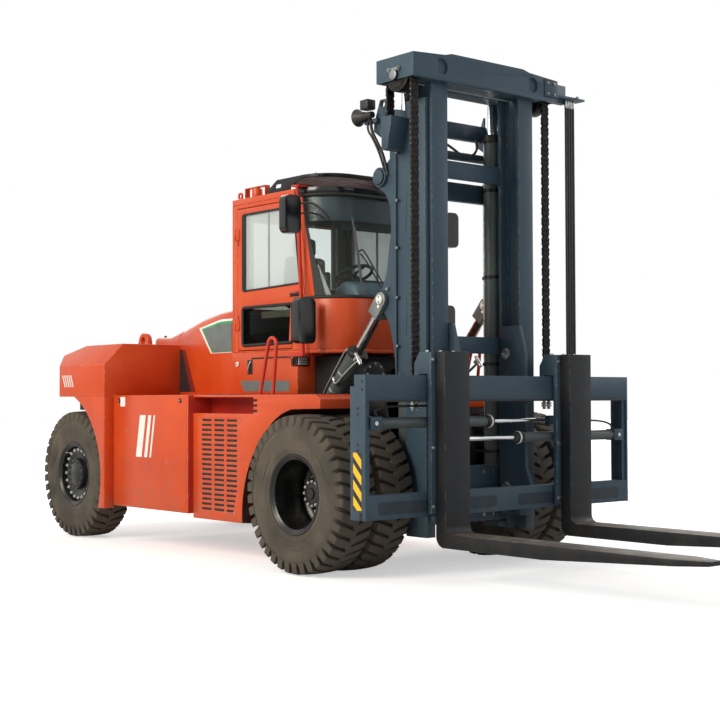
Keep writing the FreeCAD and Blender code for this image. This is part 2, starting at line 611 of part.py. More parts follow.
def outsideFittings():
    deck, top, half = size["deckHeight"], size["cabTop"], size["cabHalf"]
    foot = Vector(at(-790), -half - 60, 1925)
    head = Vector(at(-872), -half - 60, top)
    pole = rod("MirrorPole", 18, head.sub(foot).Length, tuple(foot), tuple(head.sub(foot)))
    shelf = box("PoleShelf", 240, 90, 30, (at(-1000), -half - 90, 1895))
    tie = box("PoleTie", 110, 130, 14, (at(-940), -half - 80, top))
    poleSide = [pole, shelf, tie]
    heads = []
    thick = 95
    for centre, wide, tall in (((-625, -885, 2215), 200, 420), ((-680, -1000, 3190), 180, 350)):
        middle = Vector(at(centre[0]), centre[1], centre[2])
        share = (middle.z - foot.z) / (head.z - foot.z)
        onPole = foot + (head - foot) * share
        arm = middle - onPole
        sheet = roundedSheet(middle.y, middle.z, wide, tall, 55)
        heads.append(plate("MirrorHead", "YZ_Plane", sheet, thick, middle.x - thick / 2))
        heads.append(rod("MirrorArm", 12, arm.Length, tuple(onPole), tuple(arm)))
    keep("mirrors", pair("Mirrors", cut("MirrorSide", join("MirrorHeadsAndArms", heads), [pole])))
    feet = [Vector(at(-575), -1275, deck + 5), Vector(at(-770), -1275, deck + 5)]
    keep("rails_and_poles", pair("RailsAndPoles", join("RailSide", poleSide + handrail(feet))))
    lamp = box("HeadLamp", 70, 130, 100, (at(-1045), -690, 1808))
    lampFoot = box("LampFoot", 50, 60, 3, (at(-1040), -660, 1805))
    bezel = box("LampBezel", 8, 110, 80, (at(-983), -680, 1818))
    lens = rod("LampLens", 36, 12, (at(-983), -625, 1858), (1, 0, 0))
    lampBody = cut("LampBody", lamp, [bezel])
    keep("head_lamps", pair("HeadLamps", join("LampSide", [lampBody, lampFoot, lens])))


# Mast: outer channels, nested inner sections, lift and tilt cylinders.
def outerMast():
    half = size["mastHalf"]
    rearX, frontX, web, tip = at(520), at(780), 620, 560
    channel = [(rearX, -half), (frontX, -half), (frontX, -tip), (frontX - 35, -tip), (frontX - 35, -web),
               (rearX + 35, -web), (rearX + 35, -tip), (rearX, -tip)]
    upright = plate("OuterChannel", "XY_Plane", channel, "outerTop - mastBottom", "mastBottom")
    pivot = (at(size["pivotAhead"]), size["pivotHeight"])
    joinX = at(525)
    cheekPoints = [(390, 1750), (360, 1971), (295, 2190), (205, 2290), (160, 2340), (160, 2410), (215, 2460),
                   (274, 2610), (337, 2987), (320, 3195), (250, 3315), (135, 3380), (135, 3490), (250, 3550),
                   (320, 3600), (320, 3740), (185, 3818), (107, 3870), (110, 3941), (190, 4143), (262, 4143),
                   (330, 4040)]
    cheekOutline = [(at(x), z) for x, z in cheekPoints] + [(joinX, 4000), (joinX, 1700)]
    cheek = plate("MastCheek", "XZ_Plane", cheekOutline, 35, -half)
    eyeBore = rod("TiltEyeBore", 52, 200, (at(size["tiltEyeX"]), -half - 50, size["tiltEyeZ"]), (0, 1, 0))
    earBore = rod("MastEarBore", 30, 200, (at(226), -half - 50, 4100), (0, 1, 0))
    side = cut("OuterSide", join("OuterSideSolid", [upright, cheek]), [eyeBore, earBore])
    keep("outer_uprights", pair("OuterUprights", side))

    inside = half - 35
    shelf = box("CylinderFoot", 210, 140, 50, (at(310), -size["liftY"] - 90, 330))
    # The feet hook over the frame's pins, between the lift cylinders.
    crossX, crossTop = at(495), 900
    footOutline = [(crossX, 400), (crossX, crossTop), (pivot[0] - 20, pivot[1] + 110),
                   arc((pivot[0] - 110, pivot[1]), (pivot[0] - 20, pivot[1] - 110))]
    pinBore = rod("PivotBore", 55.05, 90, (pivot[0], -420, pivot[1]), (0, 1, 0))
    foot = cut("MastFoot", plate("MastFootPlate", "XZ_Plane", footOutline, 90, -420), [pinBore])
    members = [box("LowerCross", 65, 2 * 560, crossTop - 400, (crossX, -560, 400)), pair("MastFeet", foot),
               box("RearCross", 60, 2 * inside, 171, (at(200), -inside, 3313)),
               box("TopCross", 60, 2 * inside, 150, (at(200), -inside, 3890)),
               rod("CrossTube", 40, 2 * inside, (at(250), -inside, 3730), (0, 1, 0)), shelf,
               mirror("CylinderFootLeft", shelf)]

    anchorX = size["sheaveX"] - size["sheaveRadius"]
    anchorOutline = [(at(anchorX - 55), 3640), (at(anchorX + 20), 3640), (at(anchorX + 75), 3885),
                     (at(anchorX + 75), 3925), (at(anchorX - 55), 3925)]
    anchors = pair("ChainAnchors", plate("ChainAnchor", "XZ_Plane", anchorOutline, 200, -half - 200))
    keep("outer_crossmembers", join("OuterCrossmembers", members + [anchors]))

    centre = ("frontAxleX + liftX", "-liftY")
    barrel = cut("LiftBarrelTube", rod("LiftBarrelBody", "liftRadius", 3550, (*centre, 380)),
                 [rod("LiftBore", "liftRodRadius + 5", 3470, (*centre, 430)),
                  rod("LiftGlandBore", "liftRodRadius + 0.05", 60, (*centre, 3880))])
    keep("lift_barrels", pair("LiftBarrels", barrel))


def innerMast():
    tall = "headBottom - innerBottom"
    section = [(at(789), -622), (at(824), -622), (at(824), -437), (at(789), -437), (at(789), -520),
               (at(600), -520), (at(600), -437), (at(565), -437), (at(565), -610), (at(600), -610),
               (at(600), -552), (at(789), -552)]
    upright = plate("InnerSection", "XY_Plane", section, tall, "innerBottom")
    keep("inner_uprights", pair("InnerUprights", upright))
    crosses = [box("InnerCross", 35, 2 * 437, tallOne, (at(565), -437, z))
               for z, tallOne in ((3442, 158), (480, 220), (1900, 150))]
    keep("inner_crossmembers", join("InnerCrossmembers", crosses))

    head = size["headHalf"]
    bottom = size["headBottom"]
    front = plate("HeadFront", "YZ_Plane",
                  [(-head, bottom), (head, bottom), (head, bottom + 200), (520, size["headTop"] - 20),
                   (440, size["headTop"]), (-440, size["headTop"]), (-520, size["headTop"] - 20),
                   (-head, bottom + 200)], 45, at(841))
    holes = []
    for y in (-605, 515):
        outline = [(y, bottom + 60), (y + 60, bottom + 50),
                   arc((y + 115, bottom + 118), (y + 60, bottom + 186)), (y, bottom + 178)]
        holes.append(plate("HeadHole", "YZ_Plane", outline, 40, at(858)))
    backBeam = box("HeadRear", 40, 2 * head, 150, (at(411), "-headHalf", bottom))
    sides = [box("HeadSide", 475, 20, 200, (at(411), y, bottom)) for y in (-head, -724, 704, head - 20)]
    sole = box("HeadSole", 475, 2 * 724, 20, (at(411), -724, bottom))
    bracket = box("HoseBracket", 60, 190, 170, (at(760), head, bottom + 20))
    bracketArm = box("HoseArm", 110, 382, 20, (at(776), head, bottom + 60))
    sheaveHole = rod("PinHole", 45, 2 * head, ("frontAxleX + sheaveX", "-headHalf", "sheaveZ"), (0, 1, 0))
    solid = join("CrossheadSolid", [front, backBeam, sole, bracket, bracketArm] + sides)
    keep("crosshead", cut("Crosshead", solid, [sheaveHole] + holes))

    centre = ("frontAxleX + sheaveX", "-sheaveY - 55", "sheaveZ")
    disc = rod("SheaveDisc", "sheaveRadius - chainThick / 2", 110, centre, (0, 1, 0))
    wrapRadius = size["sheaveRadius"] + size["chainThick"] / 2
    overTop = [(at(size["sheaveX"]) + x, size["sheaveZ"] + z) for x, z in polygon(12, wrapRadius)[:7]]
    wrap = plate("ChainWrap", "XZ_Plane", overTop, "chainWidth", "-sheaveY - chainWidth / 2")
    pin = rod("SheavePin", 45, size["headHalf"] - 704 + 20,
              ("frontAxleX + sheaveX", "-headHalf - 20", "sheaveZ"), (0, 1, 0))
    keep("chain_sheaves", pair("ChainSheaves", join("SheaveSide", [disc, wrap, pin])))

    def chainRun(name, links, low, side):
        # Leaf chain, drawn in a few long links that are widest where their pins are.
        wide, narrow = size["chainWidth"] / 2, size["chainWidth"] / 2 - 7
        step = (size["sheaveZ"] - low) / links / 2
        edge = [(wide if k % 2 == 0 else narrow, low + k * step) for k in range(2 * links + 1)]
        outline = [(y - size["sheaveY"], z) for y, z in edge]
        outline += [(-y - size["sheaveY"], z) for y, z in reversed(edge)]
        middle = size["sheaveX"] + side * size["sheaveRadius"]
        return plate(name, "YZ_Plane", outline, "chainThick", at(middle - size["chainThick"] / 2))

    keep("front_chains", pair("FrontChains", chainRun("FrontRun", 10, 1523, 1)))
    keep("rear_chains", pair("RearChains", chainRun("RearRun", 1, 3925, -1)))
    hoses = [rod("Hose", 13, size["headBottom"] + 60 - 1523, (at(836), 1062 + 33 * i, 1523)) for i in range(4)]
    keep("mast_hoses", join("MastHoses", hoses))
    liftRod = rod("LiftRod", "liftRodRadius", size["headBottom"] - 2150,
                  ("frontAxleX + liftX", "-liftY", 2150))
    keep("lift_rods", pair("LiftRods", liftRod))


def tiltCylinders():
    foot = Vector(at(-size["tiltFootX"]), -size["tiltY"], size["tiltFootZ"])
    eye = Vector(at(size["tiltEyeX"]), -size["tiltY"], size["tiltEyeZ"])
    run = eye - foot
    unit = run / run.Length

    def along(distance):
        return tuple(foot + unit * distance)

    tube = rod("TiltTube", "tiltRadius", 700, along(75), tuple(unit))
    tubeEye = rod("TiltTubeEye", 85, 90, (foot.x, foot.y - 45, foot.z), (0, 1, 0))
    bores = [rod("TiltBore", "tiltRodRadius + 5", 600, along(115), tuple(unit)),
             rod("TiltGland", "tiltRodRadius + 0.05", 80, along(705), tuple(unit)),
             rod("TiltFootBore", 45.05, 90, (foot.x, foot.y - 45, foot.z), (0, 1, 0))]
    keepSides("tilt_barrel", cut("TiltBarrel", join("TiltBarrelSolid", [tube, tubeEye]), bores))

    crownGap, stemStart = 175, 400
    stem = rod("TiltRodStem", "tiltRodRadius", run.Length - crownGap - stemStart, along(stemStart),
               tuple(unit))
    crown = Vector(*along(run.Length - crownGap))
    pieces = [stem]
    lean = Rotation(Vector(0, 0, 1), unit)
    block = doc.addObject("Part::Box", "ClevisBlock")
    block.Length, block.Width, block.Height = 130, 130, 50
    block.Placement = Placement(crown - lean.multVec(Vector(65, 65, 0)), lean)
    pieces.append(block)
    for offset in (-65, 23):
        arm = doc.addObject("Part::Box", "ClevisArm")
        arm.Length, arm.Width, arm.Height = 130, 42, crownGap
        arm.Placement = Placement(crown + lean.multVec(Vector(-65, offset, 0)), lean)
        pieces.append(arm)
        pieces.append(rod("ClevisEar", 65, 42, (eye.x, eye.y + offset, eye.z), (0, 1, 0)))
    pieces.append(rod("ClevisPin", 34, 150, (eye.x, eye.y - 75, eye.z), (0, 1, 0)))
    keepSides("tilt_rod", join("TiltRod", pieces))


# Carriage and forks.
def carriage():
    half, front, depth = size["carriageHalf"], size["carriageFront"], size["barDepth"]
    rearX = at(front - depth)
    bars = [box(name + "Bar", "barDepth", "2 * carriageHalf - 40", name + "BarHeight",
                (rearX, -half + 20, name + "BarZ")) for name in ("upper", "lower")]
    endOutline = [(at(908), 538), (at(front), 538), (at(front), 1693), (at(958), 1693), (at(958), 1600),
                  (at(908), 1600)]
    ends = [plate("EndPlate", "XZ_Plane", endOutline, 20, start) for start in (-half, half - 20)]
    posts = [box("EndPost", 60, 40, 747, (rearX + 20, y, 736)) for y in (-half + 20, half - 60)]
    keep("carriage_frame", join("CarriageFrame", bars + ends + posts))

    plateOutline = [(at(615), 580), (rearX, 560), (rearX, 736), (at(930), 900), (at(930), 1440), (rearX, 1483),
                    (rearX, 1550), (at(930), 1560), (at(930), 1900), (at(860), 2150), (at(640), 2150),
                    (at(615), 2000)]
    guide = plate("GuidePlate", "XZ_Plane", plateOutline, 32, -427)
    rollers = [rod("GuideRoller", 88, 85, (at(694), -427, z), (0, -1, 0)) for z in (700, 1900)]
    anchor = box("ChainBlock", 213, 120, 40, (at(780), "-sheaveY - 60", 1483))
    guides = pair("GuidePair", join("GuideSide", [guide, anchor] + rollers))
    hoseBlock = box("HoseBlock", 203, 160, 40, (at(790), 1032, 1483))
    keep("carriage_guides", join("CarriageGuides", [guides, hoseBlock]))

    x = at(size["positionerX"])
    tubes = []
    for side, z in ((-1, size["upperPositionerZ"]), (1, size["lowerPositionerZ"])):
        direction = (0, -side, 0)
        end = side * (half - 60)
        tube = rod("PositionerTube", 45, 1392, (x, end, z), direction)
        bore = rod("PositionerBore", 25, 1300, (x, end - side * 40, z), direction)
        gland = rod("PositionerGland", 20.05, 60, (x, end - side * 1335, z), direction)
        tubes.append(cut("Positioner", tube, [bore, gland]))
    keep("positioner_barrels", join("PositionerBarrels", tubes))


def forks():
    wide, y = size["forkWidth"], size["forkY"]
    low, top = size["bladeBottom"], size["bladeTop"]
    back, front = at(size["shankRear"]), at(size["shankFront"])
    tip = at(size["forkReach"])
    outline = [(back, 380), arc((back + 27, 316), (back + 90, low)), (at(2300), low), (tip, top - 35),
               (tip, top - 5), (tip - 5, top), (front + 70, top), arc((front + 20, top + 20), (front, top + 70)),
               (front, size["shankTop"]), (back, size["shankTop"])]
    blade = plate("ForkBlade", "XZ_Plane", outline, "forkWidth", "-forkY - forkWidth / 2")
    corner = [(tip - 260, -y - wide / 2 - 1), (tip + 1, -y - wide / 2 - 1), (tip + 1, -y - 70)]
    corners = [plate("TipCorner", "XY_Plane", corner, 400, 200)]
    other = [(x, -2 * y - cornerY) for x, cornerY in corner]
    corners.append(plate("TipCorner", "XY_Plane", other, 400, 200))
    keepSides("fork", cut("Fork", blade, corners))
    for side, node in ((-1, "fork_bracket_right"), (1, "fork_bracket_left")):
        middle = side * y
        start = middle - size["bracketWidth"] / 2
        face = box("BracketFace", 42, "bracketWidth", 1300, (at(1103), start, 560))
        hookOutline = [(at(940), 1560), (at(985), 1560), (at(985), 1701), (at(1145), 1701), (at(1145), 1880),
                       (at(1000), 1880), (at(940), 1790)]
        hook = plate("BracketHook", "XZ_Plane", hookOutline, size["bracketWidth"], start)
        rodZ = size["lowerPositionerZ"] if side < 0 else size["upperPositionerZ"]
        lug = box("RodLug", 100, 60, 80, (at(1003), middle - side * 158 - 30, rodZ - 40))
        stem = rod("PositionerRod", 20, 1180, (at(size["positionerX"]), middle - side * 158, rodZ),
                   (0, -side, 0))
        keep(node, join("ForkBracket", [face, hook, lug]))
        keep(node.replace("bracket", "rod"), cut("ForkRod", stem, [lug]))


wheels()
axles()
chassis()
counterweight()
rearArches()
batteryBoxes()
fenders()
hood()
cab()
doors()
cabTopSide()
cabInside()
outsideFittings()
outerMast()
innerMast()
tiltCylinders()
carriage()
forks()

doc.recompute()
for thing in doc.Objects:
    if "Invalid" in thing.State or "Error" in thing.State:
        raise RuntimeError(f"{thing.Name} failed: {thing.State}")
os.makedirs("parts", exist_ok=True)
for node, thing in subParts.items():
    if thing.Shape.isNull() or not thing.Shape.isValid():
        raise RuntimeError(f"{node} has no valid shape")
    thing.Shape.exportStep(f"parts/{node}.step")
    b = thing.Shape.BoundBox
    print(node, len(thing.Shape.Solids), round(thing.Shape.Volume / 1e9, 4),
          [round(v) for v in (b.XMin, b.XMax, b.YMin, b.YMax, b.ZMin, b.ZMax)])
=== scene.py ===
import json
import math

import bmesh
import bpy
from mathutils import Matrix, Vector
from mathutils.bvhtree import BVHTree


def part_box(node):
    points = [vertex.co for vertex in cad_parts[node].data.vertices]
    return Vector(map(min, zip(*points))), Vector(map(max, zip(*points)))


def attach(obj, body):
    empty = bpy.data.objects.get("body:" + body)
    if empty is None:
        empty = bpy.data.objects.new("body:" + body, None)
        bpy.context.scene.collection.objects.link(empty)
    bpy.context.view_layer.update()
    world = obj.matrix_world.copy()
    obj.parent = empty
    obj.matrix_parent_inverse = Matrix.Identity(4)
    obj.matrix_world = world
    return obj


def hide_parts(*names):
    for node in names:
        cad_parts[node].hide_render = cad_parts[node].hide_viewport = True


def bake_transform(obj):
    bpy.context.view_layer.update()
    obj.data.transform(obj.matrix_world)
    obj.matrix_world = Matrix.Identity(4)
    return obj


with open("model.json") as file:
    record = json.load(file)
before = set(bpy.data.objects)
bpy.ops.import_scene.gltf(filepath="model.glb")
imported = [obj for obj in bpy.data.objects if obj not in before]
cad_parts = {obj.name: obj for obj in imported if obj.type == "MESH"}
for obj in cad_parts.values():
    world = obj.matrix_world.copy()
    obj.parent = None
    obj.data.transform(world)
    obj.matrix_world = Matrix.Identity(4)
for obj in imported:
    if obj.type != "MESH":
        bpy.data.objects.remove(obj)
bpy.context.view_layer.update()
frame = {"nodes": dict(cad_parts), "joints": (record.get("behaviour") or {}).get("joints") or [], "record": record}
scene = bpy.context.scene
nodes = frame["nodes"]

jointPlace = {joint["name"]: Vector(joint["pos_m"]) for joint in frame["joints"] if joint.get("pos_m")}
frontWheel = jointPlace["front_wheels_right_spin"]
rearWheel = jointPlace["rear_wheel_right_spin"]
mastPivot = jointPlace["mast_tilt"]


def ahead(millimetres):  # a station along the truck, counted forwards from the front axle
    return frontWheel.x + millimetres / 1000


def mm(*values):
    return tuple(value / 1000 for value in values) if len(values) > 1 else values[0] / 1000


# Colours and materials
def toLinear(hexColour):
    parts = [int(hexColour[i:i + 2], 16) / 255 for i in (1, 3, 5)]
    return [p / 12.92 if p <= 0.04045 else ((p + 0.055) / 1.055) ** 2.4 for p in parts] + [1.0]


def addNode(tree, kind, inputs=None, **settings):
    node = tree.nodes.new(kind)
    for name, value in settings.items():
        setattr(node, name, value)
    for name, value in (inputs or {}).items():
        if isinstance(value, bpy.types.NodeSocket):
            tree.links.new(value, node.inputs[name])
        else:
            node.inputs[name].default_value = value
    return node


def newMaterial(name):
    material = bpy.data.materials.new(name)
    material.use_nodes = True
    material.node_tree.nodes.clear()
    return material, material.node_tree


def closeMaterial(tree, shaderInputs):
    shader = addNode(tree, "ShaderNodeBsdfPrincipled", shaderInputs)
    addNode(tree, "ShaderNodeOutputMaterial", {"Surface": shader.outputs[0]})
    return shader


def blendColours(tree, amount, first, second):
    node = addNode(tree, "ShaderNodeMix", data_type="RGBA", blend_type="MIX")
    for socket, value in zip((node.inputs[0], node.inputs[6], node.inputs[7]), (amount, first, second)):
        if isinstance(value, bpy.types.NodeSocket):
            tree.links.new(value, socket)
        else:
            socket.default_value = value
    return node.outputs[2]


def noiseMask(tree, place, scale, low, high, detail=4.0):
    noise = addNode(tree, "ShaderNodeTexNoise", {"Vector": place, "Scale": scale, "Detail": detail})
    mask = addNode(tree, "ShaderNodeMapRange", {"Value": noise.outputs[0], "From Min": low,
                                                "From Max": high})
    return mask.outputs[0]


def coating(name, base, dark, dust, roughness, dustTop=1.2, wornTo=None, coat=0.0):
    # Sprayed enamel on steel: faint cloudiness, orange peel some 3 mm across, dust low down, rubbed edges.
    material, tree = newMaterial(name)
    place = addNode(tree, "ShaderNodeTexCoord").outputs["Object"]
    clouds = noiseMask(tree, place, 1.7, 0.35, 0.7)
    colour = blendColours(tree, clouds, toLinear(base), toLinear(dark))
    height = addNode(tree, "ShaderNodeSeparateXYZ", {"Vector": place}).outputs["Z"]
    low = addNode(tree, "ShaderNodeMapRange", {"Value": height, "From Min": dustTop, "From Max": 0.25,
                                               "To Max": 0.55}).outputs[0]
    speckle = noiseMask(tree, place, 9.0, 0.42, 0.72, 8.0)
    dusty = addNode(tree, "ShaderNodeMath", {0: low, 1: speckle}, operation="MULTIPLY").outputs[0]
    colour = blendColours(tree, dusty, colour, toLinear(dust))
    edge = addNode(tree, "ShaderNodeAttribute", attribute_name="rubbedEdge").outputs["Fac"]
    chips = noiseMask(tree, place, 26.0, 0.5, 0.62, 6.0)
    rubbed = addNode(tree, "ShaderNodeMath", {0: edge, 1: chips}, operation="MULTIPLY").outputs[0]
    rubbed = addNode(tree, "ShaderNodeMath", {0: rubbed, 1: 0.55}, operation="MULTIPLY").outputs[0]
    colour = blendColours(tree, rubbed, colour, toLinear(wornTo or dust))
    uneven = noiseMask(tree, place, 14.0, 0.2, 0.8)
    rough = addNode(tree, "ShaderNodeMapRange", {"Value": uneven, "To Min": roughness - 0.07,
                                                 "To Max": roughness + 0.09}).outputs[0]
    orangePeel = addNode(tree, "ShaderNodeTexNoise", {"Vector": place, "Scale": 320.0,
                                                      "Detail": 2.0}).outputs[0]
    bump = addNode(tree, "ShaderNodeBump", {"Height": orangePeel, "Strength": 0.05, "Distance": 0.001})
    closeMaterial(tree, {"Base Color": colour, "Roughness": rough, "Specular IOR Level": 0.3,
                         "Coat Weight": coat, "Coat Roughness": 0.26, "Normal": bump.outputs[0]})
    return material


def plainFinish(name, base, second, roughness, metallic=0.0, scale=6.0, grain=240.0, bumpStrength=0.1,
                **extra):
    # One colour drifting softly into a second one, with a fine grain: for small parts.
    material, tree = newMaterial(name)
    place = addNode(tree, "ShaderNodeTexCoord").outputs["Object"]
    colour = blendColours(tree, noiseMask(tree, place, scale, 0.4, 0.66, 7.0), toLinear(base),
                          toLinear(second))
    fine = addNode(tree, "ShaderNodeTexNoise", {"Vector": place, "Scale": grain, "Detail": 3.0}).outputs[0]
    rough = addNode(tree, "ShaderNodeMapRange", {"Value": fine, "To Min": max(0.03, roughness - 0.08),
                                                 "To Max": min(1.0, roughness + 0.08)}).outputs[0]
    bump = addNode(tree, "ShaderNodeBump", {"Height": fine, "Strength": bumpStrength, "Distance": 0.001})
    closeMaterial(tree, {"Base Color": colour, "Roughness": rough, "Metallic": metallic,
                         "Normal": bump.outputs[0], **extra})
    return material


def dustyRubber(name, clean, dust, tread):
    # Moulded natural rubber: matt, with pale road dust held on the flats and in fine scuffs.
    material, tree = newMaterial(name)
    place = addNode(tree, "ShaderNodeTexCoord").outputs["Object"]
    smear = noiseMask(tree, place, 3.2, 0.3, 0.72, 9.0)
    colour = blendColours(tree, smear, toLinear(clean), toLinear(dust))
    rubbed = addNode(tree, "ShaderNodeAttribute", attribute_name="rubbedEdge").outputs["Fac"]
    colour = blendColours(tree, rubbed, colour, toLinear(tread))
    scuffs = noiseMask(tree, place, 38.0, 0.5, 0.75, 9.0)
    scuffShare = addNode(tree, "ShaderNodeMath", {0: scuffs, 1: 0.4}, operation="MULTIPLY").outputs[0]
    colour = blendColours(tree, scuffShare, colour, toLinear(tread))
    grain = addNode(tree, "ShaderNodeTexNoise", {"Vector": place, "Scale": 180.0, "Detail": 6.0}).outputs[0]
    bump = addNode(tree, "ShaderNodeBump", {"Height": grain, "Strength": 0.25, "Distance": 0.002})
    closeMaterial(tree, {"Base Color": colour, "Roughness": 0.82, "Specular IOR Level": 0.2,
                         "Normal": bump.outputs[0]})
    return material


def wovenFabric(name, base, thread):
    # Flat-woven seat cloth, drawn with a 6 mm thread so that it still shows.
    material, tree = newMaterial(name)
    place = addNode(tree, "ShaderNodeTexCoord").outputs["Object"]
    turned = addNode(tree, "ShaderNodeMapping", {"Vector": place, "Rotation": (0.0, 0.0, 0.785)}).outputs[0]
    weave = addNode(tree, "ShaderNodeTexChecker", {"Vector": turned, "Scale": 160.0,
                                                   "Color1": toLinear(base),
                                                   "Color2": toLinear(thread)})
    bump = addNode(tree, "ShaderNodeBump", {"Height": weave.outputs["Fac"], "Strength": 0.4,
                                            "Distance": 0.002})
    closeMaterial(tree, {"Base Color": weave.outputs["Color"], "Roughness": 0.9, "Normal": bump.outputs[0],
                         "Sheen Weight": 0.3})
    return material


def tintedGlass(name, tint, clear, least):
    # Toughened cab glass, mirror-smooth; least is the share of the glossy sheet in the colour clear when it is
    # looked at squarely. A pale sheet adds painted reflection to its real gloss.
    material, tree = newMaterial(name)
    place = addNode(tree, "ShaderNodeTexCoord").outputs["Object"]
    film = noiseMask(tree, place, 2.5, 0.3, 0.9)
    rough = addNode(tree, "ShaderNodeMapRange", {"Value": film, "To Min": 0.02, "To Max": 0.09}).outputs[0]
    seeThrough = addNode(tree, "ShaderNodeBsdfTransparent", {"Color": toLinear(tint)})
    gloss = addNode(tree, "ShaderNodeBsdfPrincipled", {"Base Color": toLinear(clear), "Roughness": rough,
                                                       "Transmission Weight": 0.0,
                                                       "Specular IOR Level": 0.6})
    facingAway = addNode(tree, "ShaderNodeLayerWeight", {"Blend": 0.5}).outputs["Facing"]
    steep = addNode(tree, "ShaderNodeMath", {0: facingAway, 1: 4.0}, operation="POWER").outputs[0]
    share = addNode(tree, "ShaderNodeMapRange", {"Value": steep, "To Min": least, "To Max": 0.85})
    mixed = addNode(tree, "ShaderNodeMixShader", {0: share.outputs[0], 1: seeThrough.outputs[0],
                                                  2: gloss.outputs[0]})
    addNode(tree, "ShaderNodeOutputMaterial", {"Surface": mixed.outputs[0]})
    return material


def hazardPaint(name, yellow, black, pitch):
    # Screen-printed yellow and black bands leaning at 45 degrees; pitch is the height of one pair.
    material, tree = newMaterial(name)
    place = addNode(tree, "ShaderNodeTexCoord").outputs["Object"]
    axes = addNode(tree, "ShaderNodeSeparateXYZ", {"Vector": place})
    slant = addNode(tree, "ShaderNodeMath", {0: axes.outputs["X"], 1: axes.outputs["Z"]},
                    operation="ADD").outputs[0]
    turns = addNode(tree, "ShaderNodeMath", {0: slant, 1: pitch}, operation="DIVIDE").outputs[0]
    part = addNode(tree, "ShaderNodeMath", {0: turns}, operation="FRACT").outputs[0]
    isBlack = addNode(tree, "ShaderNodeMath", {0: part, 1: 0.58}, operation="GREATER_THAN").outputs[0]
    colour = blendColours(tree, isBlack, toLinear(yellow), toLinear(black))
    scratches = noiseMask(tree, place, 60.0, 0.62, 0.7, 8.0)
    colour = blendColours(tree, scratches, colour, toLinear("#5B676B"))
    closeMaterial(tree, {"Base Color": colour, "Roughness": 0.45})
    return material


